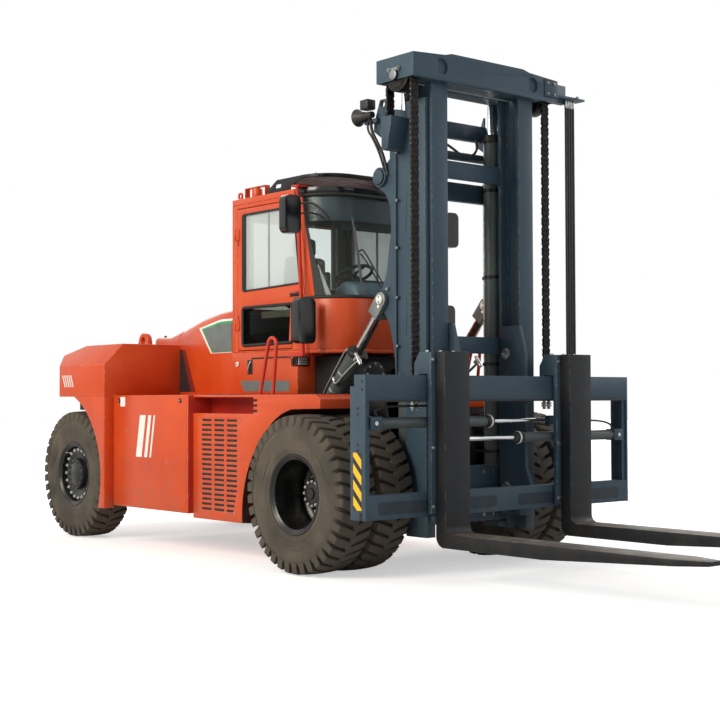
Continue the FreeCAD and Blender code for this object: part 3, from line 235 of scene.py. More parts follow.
finish = {
    # Chassis enamel, warm signal orange, semi-gloss.
    "orange": coating("orangeEnamel", "#D6511E", "#C8461D", "#94664F", 0.38, wornTo="#E8875A", coat=0.2),
    # Mast enamel, blue-grey slate, satin; the darker copy paints the shade in the carriage bar's pockets.
    "slateShade": coating("slatePaintedPocketShade", "#2B3742", "#252F39", "#4E4E49", 0.5, dustTop=0.9),
    "slate": coating("slateEnamel", "#3C4F5D", "#354855", "#66665F", 0.45, dustTop=0.9, wornTo="#8496A2"),
    # Guard and pads: black enamel, semi-gloss, browned by dust low down.
    "black": coating("blackEnamel", "#1B1C1E", "#121314", "#4E4740", 0.42, wornTo="#3F4143"),
    # Fork forgings: thin black paint, dull, rubbed grey along the edges.
    "forkBlack": coating("forkEnamel", "#1B1D21", "#151619", "#3B3733", 0.5, dustTop=0.6, wornTo="#66635E"),
    # Rims: black enamel with a clear coat, glossy.
    "rim": coating("rimEnamel", "#17181A", "#0E0F10", "#2E2A27", 0.3, wornTo="#55585C", coat=0.3),
    # Frame, axles and deck: matt black chassis paint under road dust.
    "underside": coating("frameEnamel", "#1E1F21", "#151618", "#3F3833", 0.6, wornTo="#4A4A4A"),
    # Tyres: natural rubber, brown-grey with dust.
    "tyre": dustyRubber("dustyRubber", "#423E38", "#665F55", "#575049"),
    # Hard-chromed piston rod: bright, nearly smooth.
    "chrome": plainFinish("hardChrome", "#D9DCDE", "#C4C8CB", 0.14, metallic=1.0, bumpStrength=0.02),
    # Aluminium paint on forgings: grey with a soft metal sheen.
    "silver": plainFinish("silverPaint", "#8E9494", "#767C7E", 0.38, metallic=0.55),
    # Hydraulic barrels: dark grey enamel, satin.
    "cylinder": coating("cylinderEnamel", "#515959", "#434A4B", "#6B6A64", 0.4, wornTo="#97A1A5"),
    # Zinc-plated screws and pipes: pale and softly shiny, mottled.
    "zinc": plainFinish("zincPlatedSteel", "#B9BBB6", "#94968F", 0.35, metallic=0.9, scale=40.0),
    # Wheel nuts: pale zinc, almost white and only partly metallic, so that they look bright: partly the zinc's own
    # colour, partly painted glint.
    "brightNut": plainFinish("paleZincNutsPaintedGlint", "#D6D6D0", "#BDBDB6", 0.3, metallic=0.35, scale=40.0),
    # Chain plates under oil: nearly black, with a wet sheen.
    "oiledSteel": plainFinish("oiledSteel", "#171514", "#2C2826", 0.42, metallic=0.6, scale=30.0),
    # Bare steel where loads and pins rub: brown-grey, dull metal.
    "wornSteel": plainFinish("rubbedSteel", "#4A433C", "#746C62", 0.5, metallic=0.45, scale=7.0),
    # Hoses, seals and moulded ABS: black and dull, the ABS with a fine grain. The seal black also paints the shade
    # behind vent slots, in holes and in the gap behind the hood.
    "rubberHose": plainFinish("hoseRubber", "#1B1B1C", "#262626", 0.5, scale=20.0, bumpStrength=0.2),
    "seal": plainFinish("sealRubberAndShadeBlack", "#151516", "#1E1E1F", 0.65, scale=20.0),
    "plastic": plainFinish("mouldedPlastic", "#191A1C", "#222326", 0.5, scale=25.0, grain=500.0,
                           bumpStrength=0.3),
    # Printed films: plain colours with a slight shine.
    "whitePaint": plainFinish("whiteDecalPaint", "#F4F3F0", "#E9E7E2", 0.35, scale=8.0),
    "greyPaint": plainFinish("greyDecalPaint", "#6B7472", "#616A69", 0.4, scale=8.0),
    "greenPaint": plainFinish("greenDecalPaint", "#2FA05A", "#289150", 0.4, scale=8.0),
    # Seat cloth: charcoal, woven flat.
    "fabric": wovenFabric("wovenSeatCloth", "#1D1E21", "#2F3136"),
    # Screen and side panes: nearly clear. The lower door panes are smoked.
    "glass": tintedGlass("tintedCabGlass", "#F4F7F6", "#EAF2F1", 0.02),
    "smoked": tintedGlass("smokedLowerGlass", "#BFC1B9", "#2A2E2E", 0.05),
    # Doors' upper panes: a pale glossy sheet over more than half of each, painted reflection of the sky on top of
    # the real gloss.
    "doorGlass": tintedGlass("coatedDoorGlass", "#F4F7F6", "#DDE6E8", 0.55),
    # Shiny black paint and moulded shells that mirror the sky.
    "gloss": plainFinish("glossBlackShell", "#131416", "#17191B", 0.16, scale=5.0, bumpStrength=0.02),
    # Cab trim of moulded ABS: slate header, charcoal lining, pale pillar pads, blue-grey dashboard.
    "headlining": plainFinish("headerTrim", "#33414B", "#2B3842", 0.35, scale=5.0),
    "lining": plainFinish("cabLining", "#1D2023", "#24272A", 0.7, scale=12.0),
    "greyTrim": plainFinish("paleGreyTrim", "#9EA5A2", "#8C9391", 0.5, scale=9.0),
    "dashboard": plainFinish("blueGreyDashboard", "#5E7587", "#516678", 0.45, scale=9.0, grain=420.0),
    # Painted shade, darker and duller than the enamel: red for the step's recess and faces turned forwards, dark
    # maroon in the wheel arches, dark red in hinge gaps and behind the hood.
    "deepRed": coating("paintedShadeRed", "#B02A1C", "#A02418", "#7A4A3C", 0.5, wornTo="#C4502F"),
    "wheelArch": coating("archPaintedShade", "#3A100E", "#2A0D0C", "#4A3A33", 0.7),
    "darkRed": plainFinish("paintedShadeDarkRed", "#7A1D18", "#6A1813", 0.6, scale=9.0),
    # Mirror faces: silvered glass. Lamp lenses: clear and amber polycarbonate.
    "mirrorGlass": plainFinish("silveredGlass", "#AEB6BC", "#A2AAB0", 0.06, metallic=1.0, bumpStrength=0.0),
    "lens": plainFinish("lampLens", "#E8EAEA", "#D5D8D8", 0.12, metallic=0.2, grain=160.0),
    "amber": plainFinish("amberLens", "#F0781E", "#E0640F", 0.2, grain=160.0),
    # Handrails and poles: red enamel, semi-gloss.
    "redRail": coating("redEnamel", "#CF3A22", "#C0331F", "#8A4A40", 0.35, wornTo="#E08070", coat=0.1),
    # Bands on the carriage's end plates.
    "hazard": hazardPaint("hazardBands", "#F2C21B", "#16171A", 0.128),
}
print("materials ready:", len(finish))


# Shapes built with bmesh operators
def facing(start, direction):
    turn = Vector(direction).to_track_quat("Z", "Y").to_matrix().to_4x4()
    return Matrix.Translation(Vector(start)) @ turn


def inOrder(items):  # each item once, in the order met
    return list(dict.fromkeys(items))


def paintFaces(verts, index):
    for vert in verts:
        for face in vert.link_faces:
            face.material_index = index
    return verts


def softenEdges(bm, edges, width, segments=2):
    if edges and width:
        result = bmesh.ops.bevel(bm, geom=edges, offset=width, offset_type="OFFSET", segments=segments,
                                 profile=0.5, affect="EDGES", clamp_overlap=True, material=-1)
        return result["faces"]
    return []


def addBox(bm, low, high, index=0, soft=0.0):
    low, high = Vector(low), Vector(high)
    span = high - low
    shape = (Matrix.Translation((low + high) / 2)
             @ Matrix.Diagonal((abs(span.x), abs(span.y), abs(span.z), 1)))
    verts = bmesh.ops.create_cube(bm, size=1.0, matrix=shape)["verts"]
    paintFaces(verts, index)
    if soft:
        softenEdges(bm, inOrder(edge for vert in verts for edge in vert.link_edges), soft)
    return verts


def addRod(bm, start, end, radius, index=0, segments=24, endRadius=None, soft=0.0):
    start, end = Vector(start), Vector(end)
    run = end - start
    shape = facing((start + end) / 2, run)
    verts = bmesh.ops.create_cone(bm, cap_ends=True, segments=segments, radius1=radius,
                                  radius2=radius if endRadius is None else endRadius, depth=run.length,
                                  matrix=shape)["verts"]
    paintFaces(verts, index)
    if soft:
        rims = inOrder(edge for vert in verts for edge in vert.link_edges
                       if len(edge.link_faces) == 2 and edge.calc_face_angle(0) > 1.0)
        softenEdges(bm, rims, soft)
    return verts


def addTurned(bm, profile, centre, axis, index=0, segments=48, closed=True):
    # A profile of (radius, distance along the axis) points spun a full turn.
    shape = facing(centre, axis)
    verts = [bm.verts.new(shape @ Vector((radius, 0.0, along))) for radius, along in profile]
    count = len(verts) if closed else len(verts) - 1
    edges = [bm.edges.new((verts[i], verts[(i + 1) % len(verts)])) for i in range(count)]
    spun = bmesh.ops.spin(bm, geom=verts + edges, cent=Vector(centre), axis=Vector(axis), steps=segments,
                          angle=2 * math.pi, use_merge=True, dvec=(0, 0, 0))
    ends = [item for item in spun["geom_last"] + verts
            if isinstance(item, bmesh.types.BMVert) and item.is_valid]
    stack = inOrder(face for vert in ends for face in vert.link_faces)
    seen = dict.fromkeys(stack)
    while stack:
        for edge in stack.pop().edges:
            for face in edge.link_faces:
                if face not in seen:
                    seen[face] = None
                    stack.append(face)
    for face in seen:
        face.material_index = index
    bmesh.ops.remove_doubles(bm, verts=inOrder(vert for face in seen for vert in face.verts), dist=1e-6)
    alive = [face for face in seen if face.is_valid]
    bmesh.ops.recalc_face_normals(bm, faces=alive)
    return alive


def addPlate(bm, outline, plane, start, thick, index=0, soft=0.0):
    # outline holds two coordinates in the named plane; the plate grows from start along the third axis.
    def point(a, b):
        return {"XZ": (a, start, b), "YZ": (start, a, b), "XY": (a, b, start)}[plane]

    grow = {"XZ": (0, thick, 0), "YZ": (thick, 0, 0), "XY": (0, 0, thick)}[plane]
    face = bm.faces.new([bm.verts.new(point(a, b)) for a, b in outline])
    moved = bmesh.ops.extrude_face_region(bm, geom=[face])["geom"]
    top = [item for item in moved if isinstance(item, bmesh.types.BMVert)]
    bmesh.ops.translate(bm, verts=top, vec=grow)
    verts = list(face.verts) + top
    faces = inOrder(each for vert in verts for each in vert.link_faces)
    bmesh.ops.recalc_face_normals(bm, faces=faces)
    for each in faces:
        each.material_index = index
    if soft:
        softenEdges(bm, inOrder(edge for each in faces for edge in each.edges
                                if edge.is_valid and edge.calc_face_angle(0) > 0.6), soft)
    return verts


def addBolt(bm, place, axis, size, index=0):
    # A hexagon head on its washer; size is the width of the head across its corners.
    axis = Vector(axis).normalized()
    place = Vector(place)
    addRod(bm, place, place + axis * size * 0.16, size * 0.72, index, 16)
    addRod(bm, place + axis * size * 0.16, place + axis * size * 0.62, size * 0.5, index, 6, size * 0.47)


def addBoltRing(bm, centre, axis, radius, count, size, index=0):
    shape = facing(centre, axis)
    for step in range(count):
        angle = 2 * math.pi * step / count
        addBolt(bm, shape @ Vector((radius * math.cos(angle), radius * math.sin(angle), 0)), axis, size,
                index)


def addTube(bm, points, radius, index=0, segments=12, smooth=3):
    # A round tube along points, its corners rounded by repeated corner cutting.
    path = [Vector(p) for p in points]
    for _ in range(smooth):
        cutPath = [path[0]]
        for a, b in zip(path, path[1:]):
            cutPath += [a.lerp(b, 0.25), a.lerp(b, 0.75)]
        path = cutPath + [path[-1]]
    rings = []
    side = None
    for step, here in enumerate(path):
        along = (path[min(step + 1, len(path) - 1)] - path[max(step - 1, 0)]).normalized()
        if side is None:
            side = along.orthogonal().normalized()
        side = (side - along * side.dot(along)).normalized()
        across = along.cross(side)
        rings.append([bm.verts.new(here + (side * math.cos(2 * math.pi * k / segments)
                                           + across * math.sin(2 * math.pi * k / segments)) * radius)
                      for k in range(segments)])
    made = []
    for lower, upper in zip(rings, rings[1:]):
        for k in range(segments):
            made.append(bm.faces.new((lower[k], lower[(k + 1) % segments],
                                      upper[(k + 1) % segments], upper[k])))
    made += [bm.faces.new(rings[0][::-1]), bm.faces.new(rings[-1])]
    bmesh.ops.recalc_face_normals(bm, faces=made)
    for face in made:
        face.material_index = index
    return made


def mirrorAcross(bm):
    # Copies everything to the other side of the truck's centre plane.
    copy = bmesh.ops.duplicate(bm, geom=bm.verts[:] + bm.edges[:] + bm.faces[:])["geom"]
    verts = [item for item in copy if isinstance(item, bmesh.types.BMVert)]
    bmesh.ops.scale(bm, verts=verts, vec=(1, -1, 1))
    faces = [item for item in copy if isinstance(item, bmesh.types.BMFace)]
    bmesh.ops.reverse_faces(bm, faces=faces)


def flipAcross(bm):
    # Moves everything to the other side of the truck's centre plane.
    bmesh.ops.scale(bm, verts=bm.verts[:], vec=(1, -1, 1))
    bmesh.ops.reverse_faces(bm, faces=bm.faces[:])


def makePiece(name, bm, body, finishes, replaces=(), sharp=38, blend=None):
    finishes = [finishes] if isinstance(finishes, str) else finishes
    mesh = bpy.data.meshes.new(name)
    bm.to_mesh(mesh)
    bm.free()
    for polygon in mesh.polygons:
        polygon.use_smooth = True
    mesh.set_sharp_from_angle(angle=math.radians(sharp))
    obj = bpy.data.objects.new(name, mesh)
    scene.collection.objects.link(obj)
    for item in finishes:
        mesh.materials.append(finish[item])
    if blend:
        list(blend["bodies"])
        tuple(blend["start"])
        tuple(blend["end"])
        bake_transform(obj)
    else:
        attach(obj, body)
    if replaces:
        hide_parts(*replaces)
    return obj


def bodyOf(node):
    return next(name for name, held in frame["record"]["behaviour"]["bodies"].items() if node in held)


def dressNode(node, finishName, width, angle=32, segments=2, extra=None, more=(), recolour=None,
              recolourTo=1, splitX=None):
    # The same form with its plates' edges softened. extra draws small fittings into the same piece, more
    # lists further finishes, and a face that recolour picks takes recolourTo, or the number that it returns.
    bm = bmesh.new()
    bm.from_mesh(nodes[node].data)
    bmesh.ops.remove_doubles(bm, verts=bm.verts[:], dist=2e-5)
    bmesh.ops.dissolve_limit(bm, angle_limit=math.radians(0.6), verts=bm.verts[:], edges=bm.edges[:])
    if splitX is not None:
        bmesh.ops.bisect_plane(bm, geom=bm.verts[:] + bm.edges[:] + bm.faces[:], dist=1e-6,
                               plane_co=(splitX, 0, 0), plane_no=(1, 0, 0))
    for face in bm.faces:
        face.material_index = 0
    layer = bm.faces.layers.float.new("rubbedEdge")
    sharpOnes = [edge for edge in bm.edges if len(edge.link_faces) == 2
                 and edge.calc_face_angle(0) > math.radians(angle)]
    for face in softenEdges(bm, sharpOnes, width, segments):
        face[layer] = 1.0
    if recolour:
        for face in bm.faces:
            picked = recolour(face)
            if picked:
                face.material_index = recolourTo if picked is True else picked
    if extra:
        fittings = bmesh.new()
        extra(fittings)
        held = bpy.data.meshes.new("fittings")
        fittings.to_mesh(held)
        fittings.free()
        bm.from_mesh(held)
        bpy.data.meshes.remove(held)
    return makePiece(node.replace("_", "-") + "-dressed", bm, bodyOf(node), [finishName, *more], (node,))


# Finishes of the nodes that keep their own form
packMaterials = nodes["battery_packs"].data.materials
packMaterials.clear()
packMaterials.append(finish["silver"])
finishOfSlot = {"orange_paint": "orange", "mast_paint": "slate", "dark_paint": "underside",
                "fork_steel": "forkBlack",
                "tyre_rubber": "tyre", "rim_paint": "rim", "chrome_rod": "chrome",
                "cylinder_paint": "cylinder",
                "chain_steel": "oiledSteel", "hose_rubber": "rubberHose", "cab_glass": "glass",
                "seat_fabric": "fabric", "black_plastic": "plastic", "battery_case": "silver"}
for part in frame["record"]["subparts"]:
    for held in nodes[part["node"]].material_slots:
        held.material = finish[finishOfSlot[part["material_slot"]]]


# Wheels
tyreShape = {"radius": 0.685, "base": 0.643, "half": 0.1875, "lugsPerSide": 38, "slant": 0.115,
             "lugAtCentre": 0.041, "lugAtShoulder": 0.038, "pastCentre": 0.016, "segments": 96,
             "ribStarts": (0.35, 2.45, 4.55), "ribOuter": 0.470, "ribInner": 0.440}


def carcassProfile():
    side = [(0.316, 0.146), (0.334, 0.160), (0.348, 0.168), (0.372, 0.1735), (0.384, 0.1765),
            (0.390, 0.1805),
            (0.398, 0.1805), (0.404, 0.1765), (0.440, 0.1745), (0.470, 0.1758), (0.500, 0.1805),
            (0.528, 0.1862),
            (0.546, 0.1872), (0.566, 0.1860), (0.584, 0.1815), (0.600, 0.1690), (0.616, 0.1500)]
    crown = [(tyreShape["base"] - 0.004, 0.115), (tyreShape["base"], 0.07), (tyreShape["base"], 0.0)]
    outward = side + crown
    return outward + [(r, -y) for r, y in reversed(outward[:-1])]


def lugTemplate():
    # One lug in unit coordinates: x across its width, y from the crown to the shoulder, z its height.
    bm = bmesh.new()
    bmesh.ops.create_cube(bm, size=1.0, matrix=Matrix.Translation((0.5, 0.5, 0.5)))
    for cutAt in (0.34, 0.62, 0.86):
        bmesh.ops.bisect_plane(bm, geom=bm.verts[:] + bm.edges[:] + bm.faces[:], plane_co=(0, cutAt, 0),
                               plane_no=(0, 1, 0), dist=1e-6)
    bm.faces.ensure_lookup_table()
    upper = [edge for edge in bm.edges if edge.calc_face_angle(0) > 0.5
             and max(vert.co.z for vert in edge.verts) > 0.9]
    softenEdges(bm, upper, 0.055, 1)
    return bm


def placeLug(point, angle, side):
    shape = tyreShape
    across, outward, height = point.x * 2 - 1, point.y, point.z
    wide = shape["lugAtCentre"] + (shape["lugAtShoulder"] - shape["lugAtCentre"]) * outward
    wide *= 1.16 - 0.2 * height
    y = -shape["pastCentre"] + (shape["half"] + shape["pastCentre"]) * outward
    if outward > 0.8:
        y -= 0.012 * (outward - 0.8) / 0.2 * height
    root = 0.632 - 0.052 * max(0.0, (outward - 0.66) / 0.34)
    top = shape["radius"] - 0.0005 - 0.010 * (outward ** 2)
    radius = root + (top - root) * height
    bend = shape["slant"] * outward ** 0.8
    turn = angle + bend + across * wide / shape["radius"]
    return Vector((radius * math.cos(turn), side * y, radius * math.sin(turn)))


def drawTyre(bm, centre, outer):
    # outer is +1 or -1: the side of the truck that the tyre's ribbed face looks to.
    addTurned(bm, carcassProfile(), centre, (0, 1, 0), 0, tyreShape["segments"])
    layer = bm.faces.layers.float.get("rubbedEdge") or bm.faces.layers.float.new("rubbedEdge")
    template = lugTemplate()
    pitch = 2 * math.pi / tyreShape["lugsPerSide"]
    for side in (1, -1):
        for number in range(tyreShape["lugsPerSide"]):
            angle = pitch * (number + (0.5 if side > 0 else 0.0))
            made = {vert: bm.verts.new(Vector(centre) + placeLug(vert.co, angle, side))
                    for vert in template.verts}
            faces = []
            for face in template.faces:
                new = bm.faces.new([made[vert] for vert in face.verts])
                new[layer] = 1.0 if face.calc_center_median().z > 0.93 else 0.25
                faces.append(new)
            bmesh.ops.recalc_face_normals(bm, faces=faces)
    template.free()
    # Three plain raised ribs on the sidewall.
    for start in tyreShape["ribStarts"]:
        bend = [start + step * 0.0375 for step in range(13)]
        rims = ((tyreShape["ribOuter"], bend), (tyreShape["ribInner"], bend[::-1]))
        outline = [(centre[0] + radius * math.cos(angle), centre[2] + radius * math.sin(angle))
                   for radius, angles in rims for angle in angles]
        addPlate(bm, outline, "XZ", centre[1] + outer * 0.1743, outer * 0.005)


def rimProfile(shoulder):
    # Half the rim's section, mirrored and closed; shoulder is its radius where it drops to the well.
    wall = [(0.306, 0.150), (0.331, 0.153), (0.346, 0.160), (0.349, 0.168), (0.345, 0.175), (0.336, 0.176),
            (0.326, 0.170), (0.318, 0.160), (0.300, 0.150), (shoulder, 0.120), (0.290, 0.0)]
    return wall + [(r, -y) for r, y in reversed(wall[:-1])] + [(0.302, -0.140), (0.302, 0.140)]


def drawFrontRim(bm, centre, outer):
    # Twin rims round a deep well, with the cover of the hub's gears at its bottom.
    outerAt = 0.209 * outer
    for middle in (outerAt, -outerAt):
        addTurned(bm, [(r, y + middle) for r, y in rimProfile(0.292)], centre, (0, 1, 0), 0, 72)
    face = 0.030 * outer
    disc = [(0.291, face + 0.02 * outer), (0.262, face + 0.010 * outer), (0.250, face - 0.004 * outer),
            (0.150, face - 0.004 * outer), (0.146, face + 0.02 * outer), (0.140, face + 0.120 * outer),
            (0.118, face + 0.150 * outer), (0.096, face + 0.152 * outer), (0.090, face + 0.158 * outer),
            (0.050, face + 0.160 * outer), (0.044, face + 0.172 * outer), (0.0, face + 0.174 * outer)]
    rear = [(0.0, face - 0.03 * outer), (0.291, face - 0.03 * outer)]
    addTurned(bm, disc + rear, centre, (0, 1, 0), 0, 72)
    axis = (0, outer, 0)
    spot = Vector(centre) + Vector((0, face - 0.004 * outer, 0))
    addBoltRing(bm, spot, axis, 0.205, 20, 0.040, 1)
    addBoltRing(bm, Vector(centre) + Vector((0, face + 0.150 * outer, 0)), axis, 0.104, 12, 0.018, 1)
    ridge = [(0.158, 0.0), (0.168, 0.012), (0.180, 0.0)]
    addTurned(bm, [(r, (h - 0.004) * outer + face) for r, h in ridge], centre, (0, 1, 0), 0, 60)
    valve = Vector(centre) + Vector((0.262, outerAt - 0.06 * outer, 0.10))
    addRod(bm, valve, valve + Vector((0.012, 0.085 * outer, 0.004)), 0.007, 1, 10)


def drawRearRim(bm, centre, outer):
    addTurned(bm, rimProfile(0.294), centre, (0, 1, 0), 0, 72)
    disc = [(0.291, 0.098), (0.284, 0.108), (0.276, 0.110), (0.234, 0.110), (0.226, 0.104), (0.190, 0.088),
            (0.176, 0.092), (0.170, 0.118), (0.160, 0.146), (0.140, 0.156), (0.120, 0.152), (0.112, 0.158),
            (0.0, 0.160), (0.0, 0.0), (0.291, 0.0)]
    addTurned(bm, [(r, y * outer) for r, y in disc], centre, (0, 1, 0), 0, 72)
    addBoltRing(bm, Vector(centre) + Vector((0, 0.110 * outer, 0)), (0, outer, 0), 0.264, 20, 0.025, 1)
    addBoltRing(bm, Vector(centre) + Vector((0, 0.154 * outer, 0)), (0, outer, 0), 0.138, 12, 0.016, 0)
    valve = Vector(centre) + Vector((-0.17, 0.095 * outer, 0.222))
    addRod(bm, valve, valve + Vector((0.0, 0.075 * outer, 0.004)), 0.007, 1, 10)


def wheels():
    for sideName, side in (("right", -1), ("left", 1)):
        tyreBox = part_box(f"front_tyres_{sideName}")
        half = tyreShape["half"]
        yOuter = side * (max(abs(tyreBox[0].y), abs(tyreBox[1].y)) - half)
        yInner = side * (min(abs(tyreBox[0].y), abs(tyreBox[1].y)) + half)
        bm = bmesh.new()
        for y, outer in ((yOuter, side), (yInner, -side)):
            drawTyre(bm, (frontWheel.x, y, frontWheel.z), outer)
        makePiece(f"front-tyres-{sideName}-lugged", bm, f"front_wheels_{sideName}", ["tyre"],
                  (f"front_tyres_{sideName}",), 30)
        bm = bmesh.new()
        drawFrontRim(bm, (frontWheel.x, (yOuter + yInner) / 2, frontWheel.z), side)
        makePiece(f"front-rims-{sideName}-studded", bm, f"front_wheels_{sideName}", ["rim", "brightNut"],
                  (f"front_rims_{sideName}",), 40)
        centre = (rearWheel.x, side * abs(rearWheel.y), rearWheel.z)
        bm = bmesh.new()
        drawTyre(bm, centre, side)
        makePiece(f"rear-tyre-{sideName}-lugged", bm, f"rear_wheel_{sideName}", ["tyre"],
                  (f"rear_tyre_{sideName}",), 30)
        bm = bmesh.new()
        drawRearRim(bm, centre, side)
        makePiece(f"rear-rim-{sideName}-studded", bm, f"rear_wheel_{sideName}", ["rim", "brightNut"],
                  (f"rear_rim_{sideName}",), 40)
    print("wheels done")


wheels()


# Body panels
slots = {"columns": 3, "rows": 19, "rear": -1671, "stepX": 210, "long": 164, "tall": 22, "foot": 1290,
         "stepZ": 46.5, "depth": 14, "shorterFrom": 14, "shorterBy": 14}
notches = {"rear": -829, "long": 62, "tall": 22, "feet": (1380, 1428, 1476), "face": -1312}
sideStripes = {"behindMiddle": 0.25, "belowTop": 0.62, "tall": 0.42, "lean": 0.08,
               "fromAndWide": ((0.0, 0.11), (0.16, 0.055), (0.26, 0.028))}
flankBars = {"count": 5, "rear": -4145, "pitch": 45, "wide": 0.018, "lean": 0.056, "foot": 1.630,
             "head": 1.757}
rearLamps = {"inner": -0.33, "outer": -0.49, "edge": 0.012, "footAndTall": ((1.72, 0.13), (1.56, 0.07))}
treads = {"rear": -1780, "front": 60, "rows": 6, "rowStep": 0.08, "pitch": 0.075,
          "bar": (0.034, 0.010, 0.004)}


def surfaceOf(node):
    held = bmesh.new()
    held.from_mesh(nodes[node].data)
    tree = BVHTree.FromBMesh(held)
    held.free()
    return tree


def addPrint(bm, outline, surface, lift, index):
    # A printed film laid on both flanks of a curved form: outline in side view, cut every 20 mm.
    flat = bmesh.new()
    flat.faces.new([flat.verts.new((x, 0.0, z)) for x, z in outline])
    for axis, normal in ((0, (1, 0, 0)), (2, (0, 0, 1))):
        low = min(vert.co[axis] for vert in flat.verts)
        high = max(vert.co[axis] for vert in flat.verts)
        for step in range(1, int((high - low) / 0.02) + 1):
            place = [0.0, 0.0, 0.0]
            place[axis] = low + 0.02 * step
            bmesh.ops.bisect_plane(flat, geom=flat.verts[:] + flat.edges[:] + flat.faces[:], dist=1e-6,
                                   plane_co=place, plane_no=normal)
    for side in (-1, 1):
        laid = {}
        for vert in flat.verts:
            found = surface.ray_cast(Vector((vert.co.x, side * 3.0, vert.co.z)), Vector((0, -side, 0)))
            if found[0]:
                laid[vert] = bm.verts.new(found[0] + Vector((0, side * lift, 0)))
        for face in flat.faces:
            if all(vert in laid for vert in face.verts):
                corners = [laid[vert] for vert in face.verts]
                made = bm.faces.new(corners)
                made.normal_update()
                if made.normal.y * side < 0:
                    made.normal_flip()
                made.material_index = index
    flat.free()


def inArch(face, wheel):
    # True for faces that look down on a wheel from inside its housing.
    middle = face.calc_center_median()
    toWheel = Vector((wheel.x - middle.x, 0.0, wheel.z - middle.z))
    return toWheel.length < 1.3 and face.normal.dot(toWheel.normalized()) > 0.5 and middle.z < 1.46


def bodySides():
    # Everything drawn for the right-hand side is mirrored onto the left.
    boxLow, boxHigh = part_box("battery_housings")
    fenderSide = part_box("front_fenders")[0].y
    face = boxLow.y

    def onHousing(bm):
        # Service cover with its two locks and the panel's screws.
        left, right = boxLow.x + 0.03, boxHigh.x - 0.03
        addBox(bm, (left, face - 0.004, boxLow.z + 0.03), (right, face + 0.002, boxHigh.z - 0.03), 0, 0.003)
        lockZ = boxHigh.z - 0.055
        for x in (left + 0.10, right - 0.10):
            addRod(bm, (x, face - 0.004, lockZ), (x, face - 0.014, lockZ), 0.022, 1, 20, soft=0.003)
            addRod(bm, (x, face - 0.014, lockZ), (x, face - 0.018, lockZ), 0.010, 2, 16)
        middle = (left + right) / 2
        for x in (middle - 0.42, middle + 0.33):
            for z in (boxHigh.z - 0.36, boxHigh.z - 0.66):
                addRod(bm, (x, face - 0.004, z), (x, face - 0.009, z), 0.009, 2, 12)
        for z in (boxLow.z + 0.14, boxHigh.z - 0.30):
            for x in (left + 0.02, right - 0.02):
                addRod(bm, (x, face - 0.004, z), (x, face - 0.009, z), 0.008, 2, 12)
        mirrorAcross(bm)

    # The faces looking forwards take the darker red, index 3: painted shade.
    dressNode("battery_housings", "orange", 0.006, more=("plastic", "zinc", "deepRed"), extra=onHousing,
              recolour=lambda face: face.normal.x > 0.9, recolourTo=3)

    # Three slanted white stripes, each narrower than the last, and a plain white plate at the upper rear.
    bm = bmesh.new()
    foot = (boxLow.x + boxHigh.x) / 2 - sideStripes["behindMiddle"]
    low, tall, lean = boxHigh.z - sideStripes["belowTop"], sideStripes["tall"], sideStripes["lean"]
    y = face - 0.0052
    for shift, wide in sideStripes["fromAndWide"]:
        outline = [(foot + shift, low), (foot + shift + wide, low),
                   (foot + lean + shift + wide, low + tall),
                   (foot + lean + shift, low + tall)]
        addPlate(bm, outline, "XZ", y, 0.001, 0)
    addBox(bm, (boxLow.x + 0.150, y, boxHigh.z - 0.115), (boxLow.x + 0.245, y + 0.001, boxHigh.z - 0.018),
           0)
    mirrorAcross(bm)
    makePiece("side-stripes", bm, "chassis", ["whitePaint"])

    def onFender(bm):
        # Panel screws.
        for z, x in ((1.30, -1755), (1.30, -1030), (0.45, -1755), (0.45, -1120), (0.88, -1755)):
            addRod(bm, (ahead(x), fenderSide, z), (ahead(x), fenderSide - 0.006, z), 0.009, 2, 12)
        mirrorAcross(bm)

    recess = {"inner": 1.09, "outer": 1.311, "rear": ahead(-1825), "front": ahead(-825), "foot": 1.36,
              "top": 1.53}

    def inRecess(face):
        # The step's walls and floor take the darker red: painted shade in the recess.
        middle = face.calc_center_median()
        return (recess["inner"] < abs(middle.y) < recess["outer"]
                and recess["rear"] < middle.x < recess["front"]
                and recess["foot"] < middle.z < recess["top"])

    # Faces inside the wheel arch take the dark maroon and the step's faces the darker red: both painted shade.
    dressNode("front_fenders", "orange", 0.006, more=("deepRed", "zinc", "seal", "wheelArch"),
              extra=onFender,
              recolour=lambda face: 4 if inArch(face, frontWheel) else inRecess(face))

    # Painted shade behind the cooling slots and notches: black blocks sunk in each of them.
    bm = bmesh.new()
    gap = 0.001
    for column in range(slots["columns"]):
        for row in range(slots["rows"]):
            x = ahead(slots["rear"] + slots["stepX"] * column)
            z = mm(slots["foot"] - slots["stepZ"] * row)
            shorter = slots["shorterBy"] * max(0, row - slots["shorterFrom"]) if column == 2 else 0
            long = slots["long"] - shorter
            addBox(bm, (x + gap, fenderSide + 0.006, z + gap),
                   (x + mm(long) - gap, fenderSide + 0.0135, z + mm(slots["tall"]) - gap))
    for foot in notches["feet"]:
        x, y = ahead(notches["rear"]), mm(notches["face"])
        addBox(bm, (x + gap, y + 0.010, mm(foot) + gap),
               (x + mm(notches["long"]) - gap, y + 0.028, mm(foot + notches["tall"]) - gap))
    mirrorAcross(bm)
    makePiece("vent-slots-painted-shade", bm, "chassis", ["seal"])


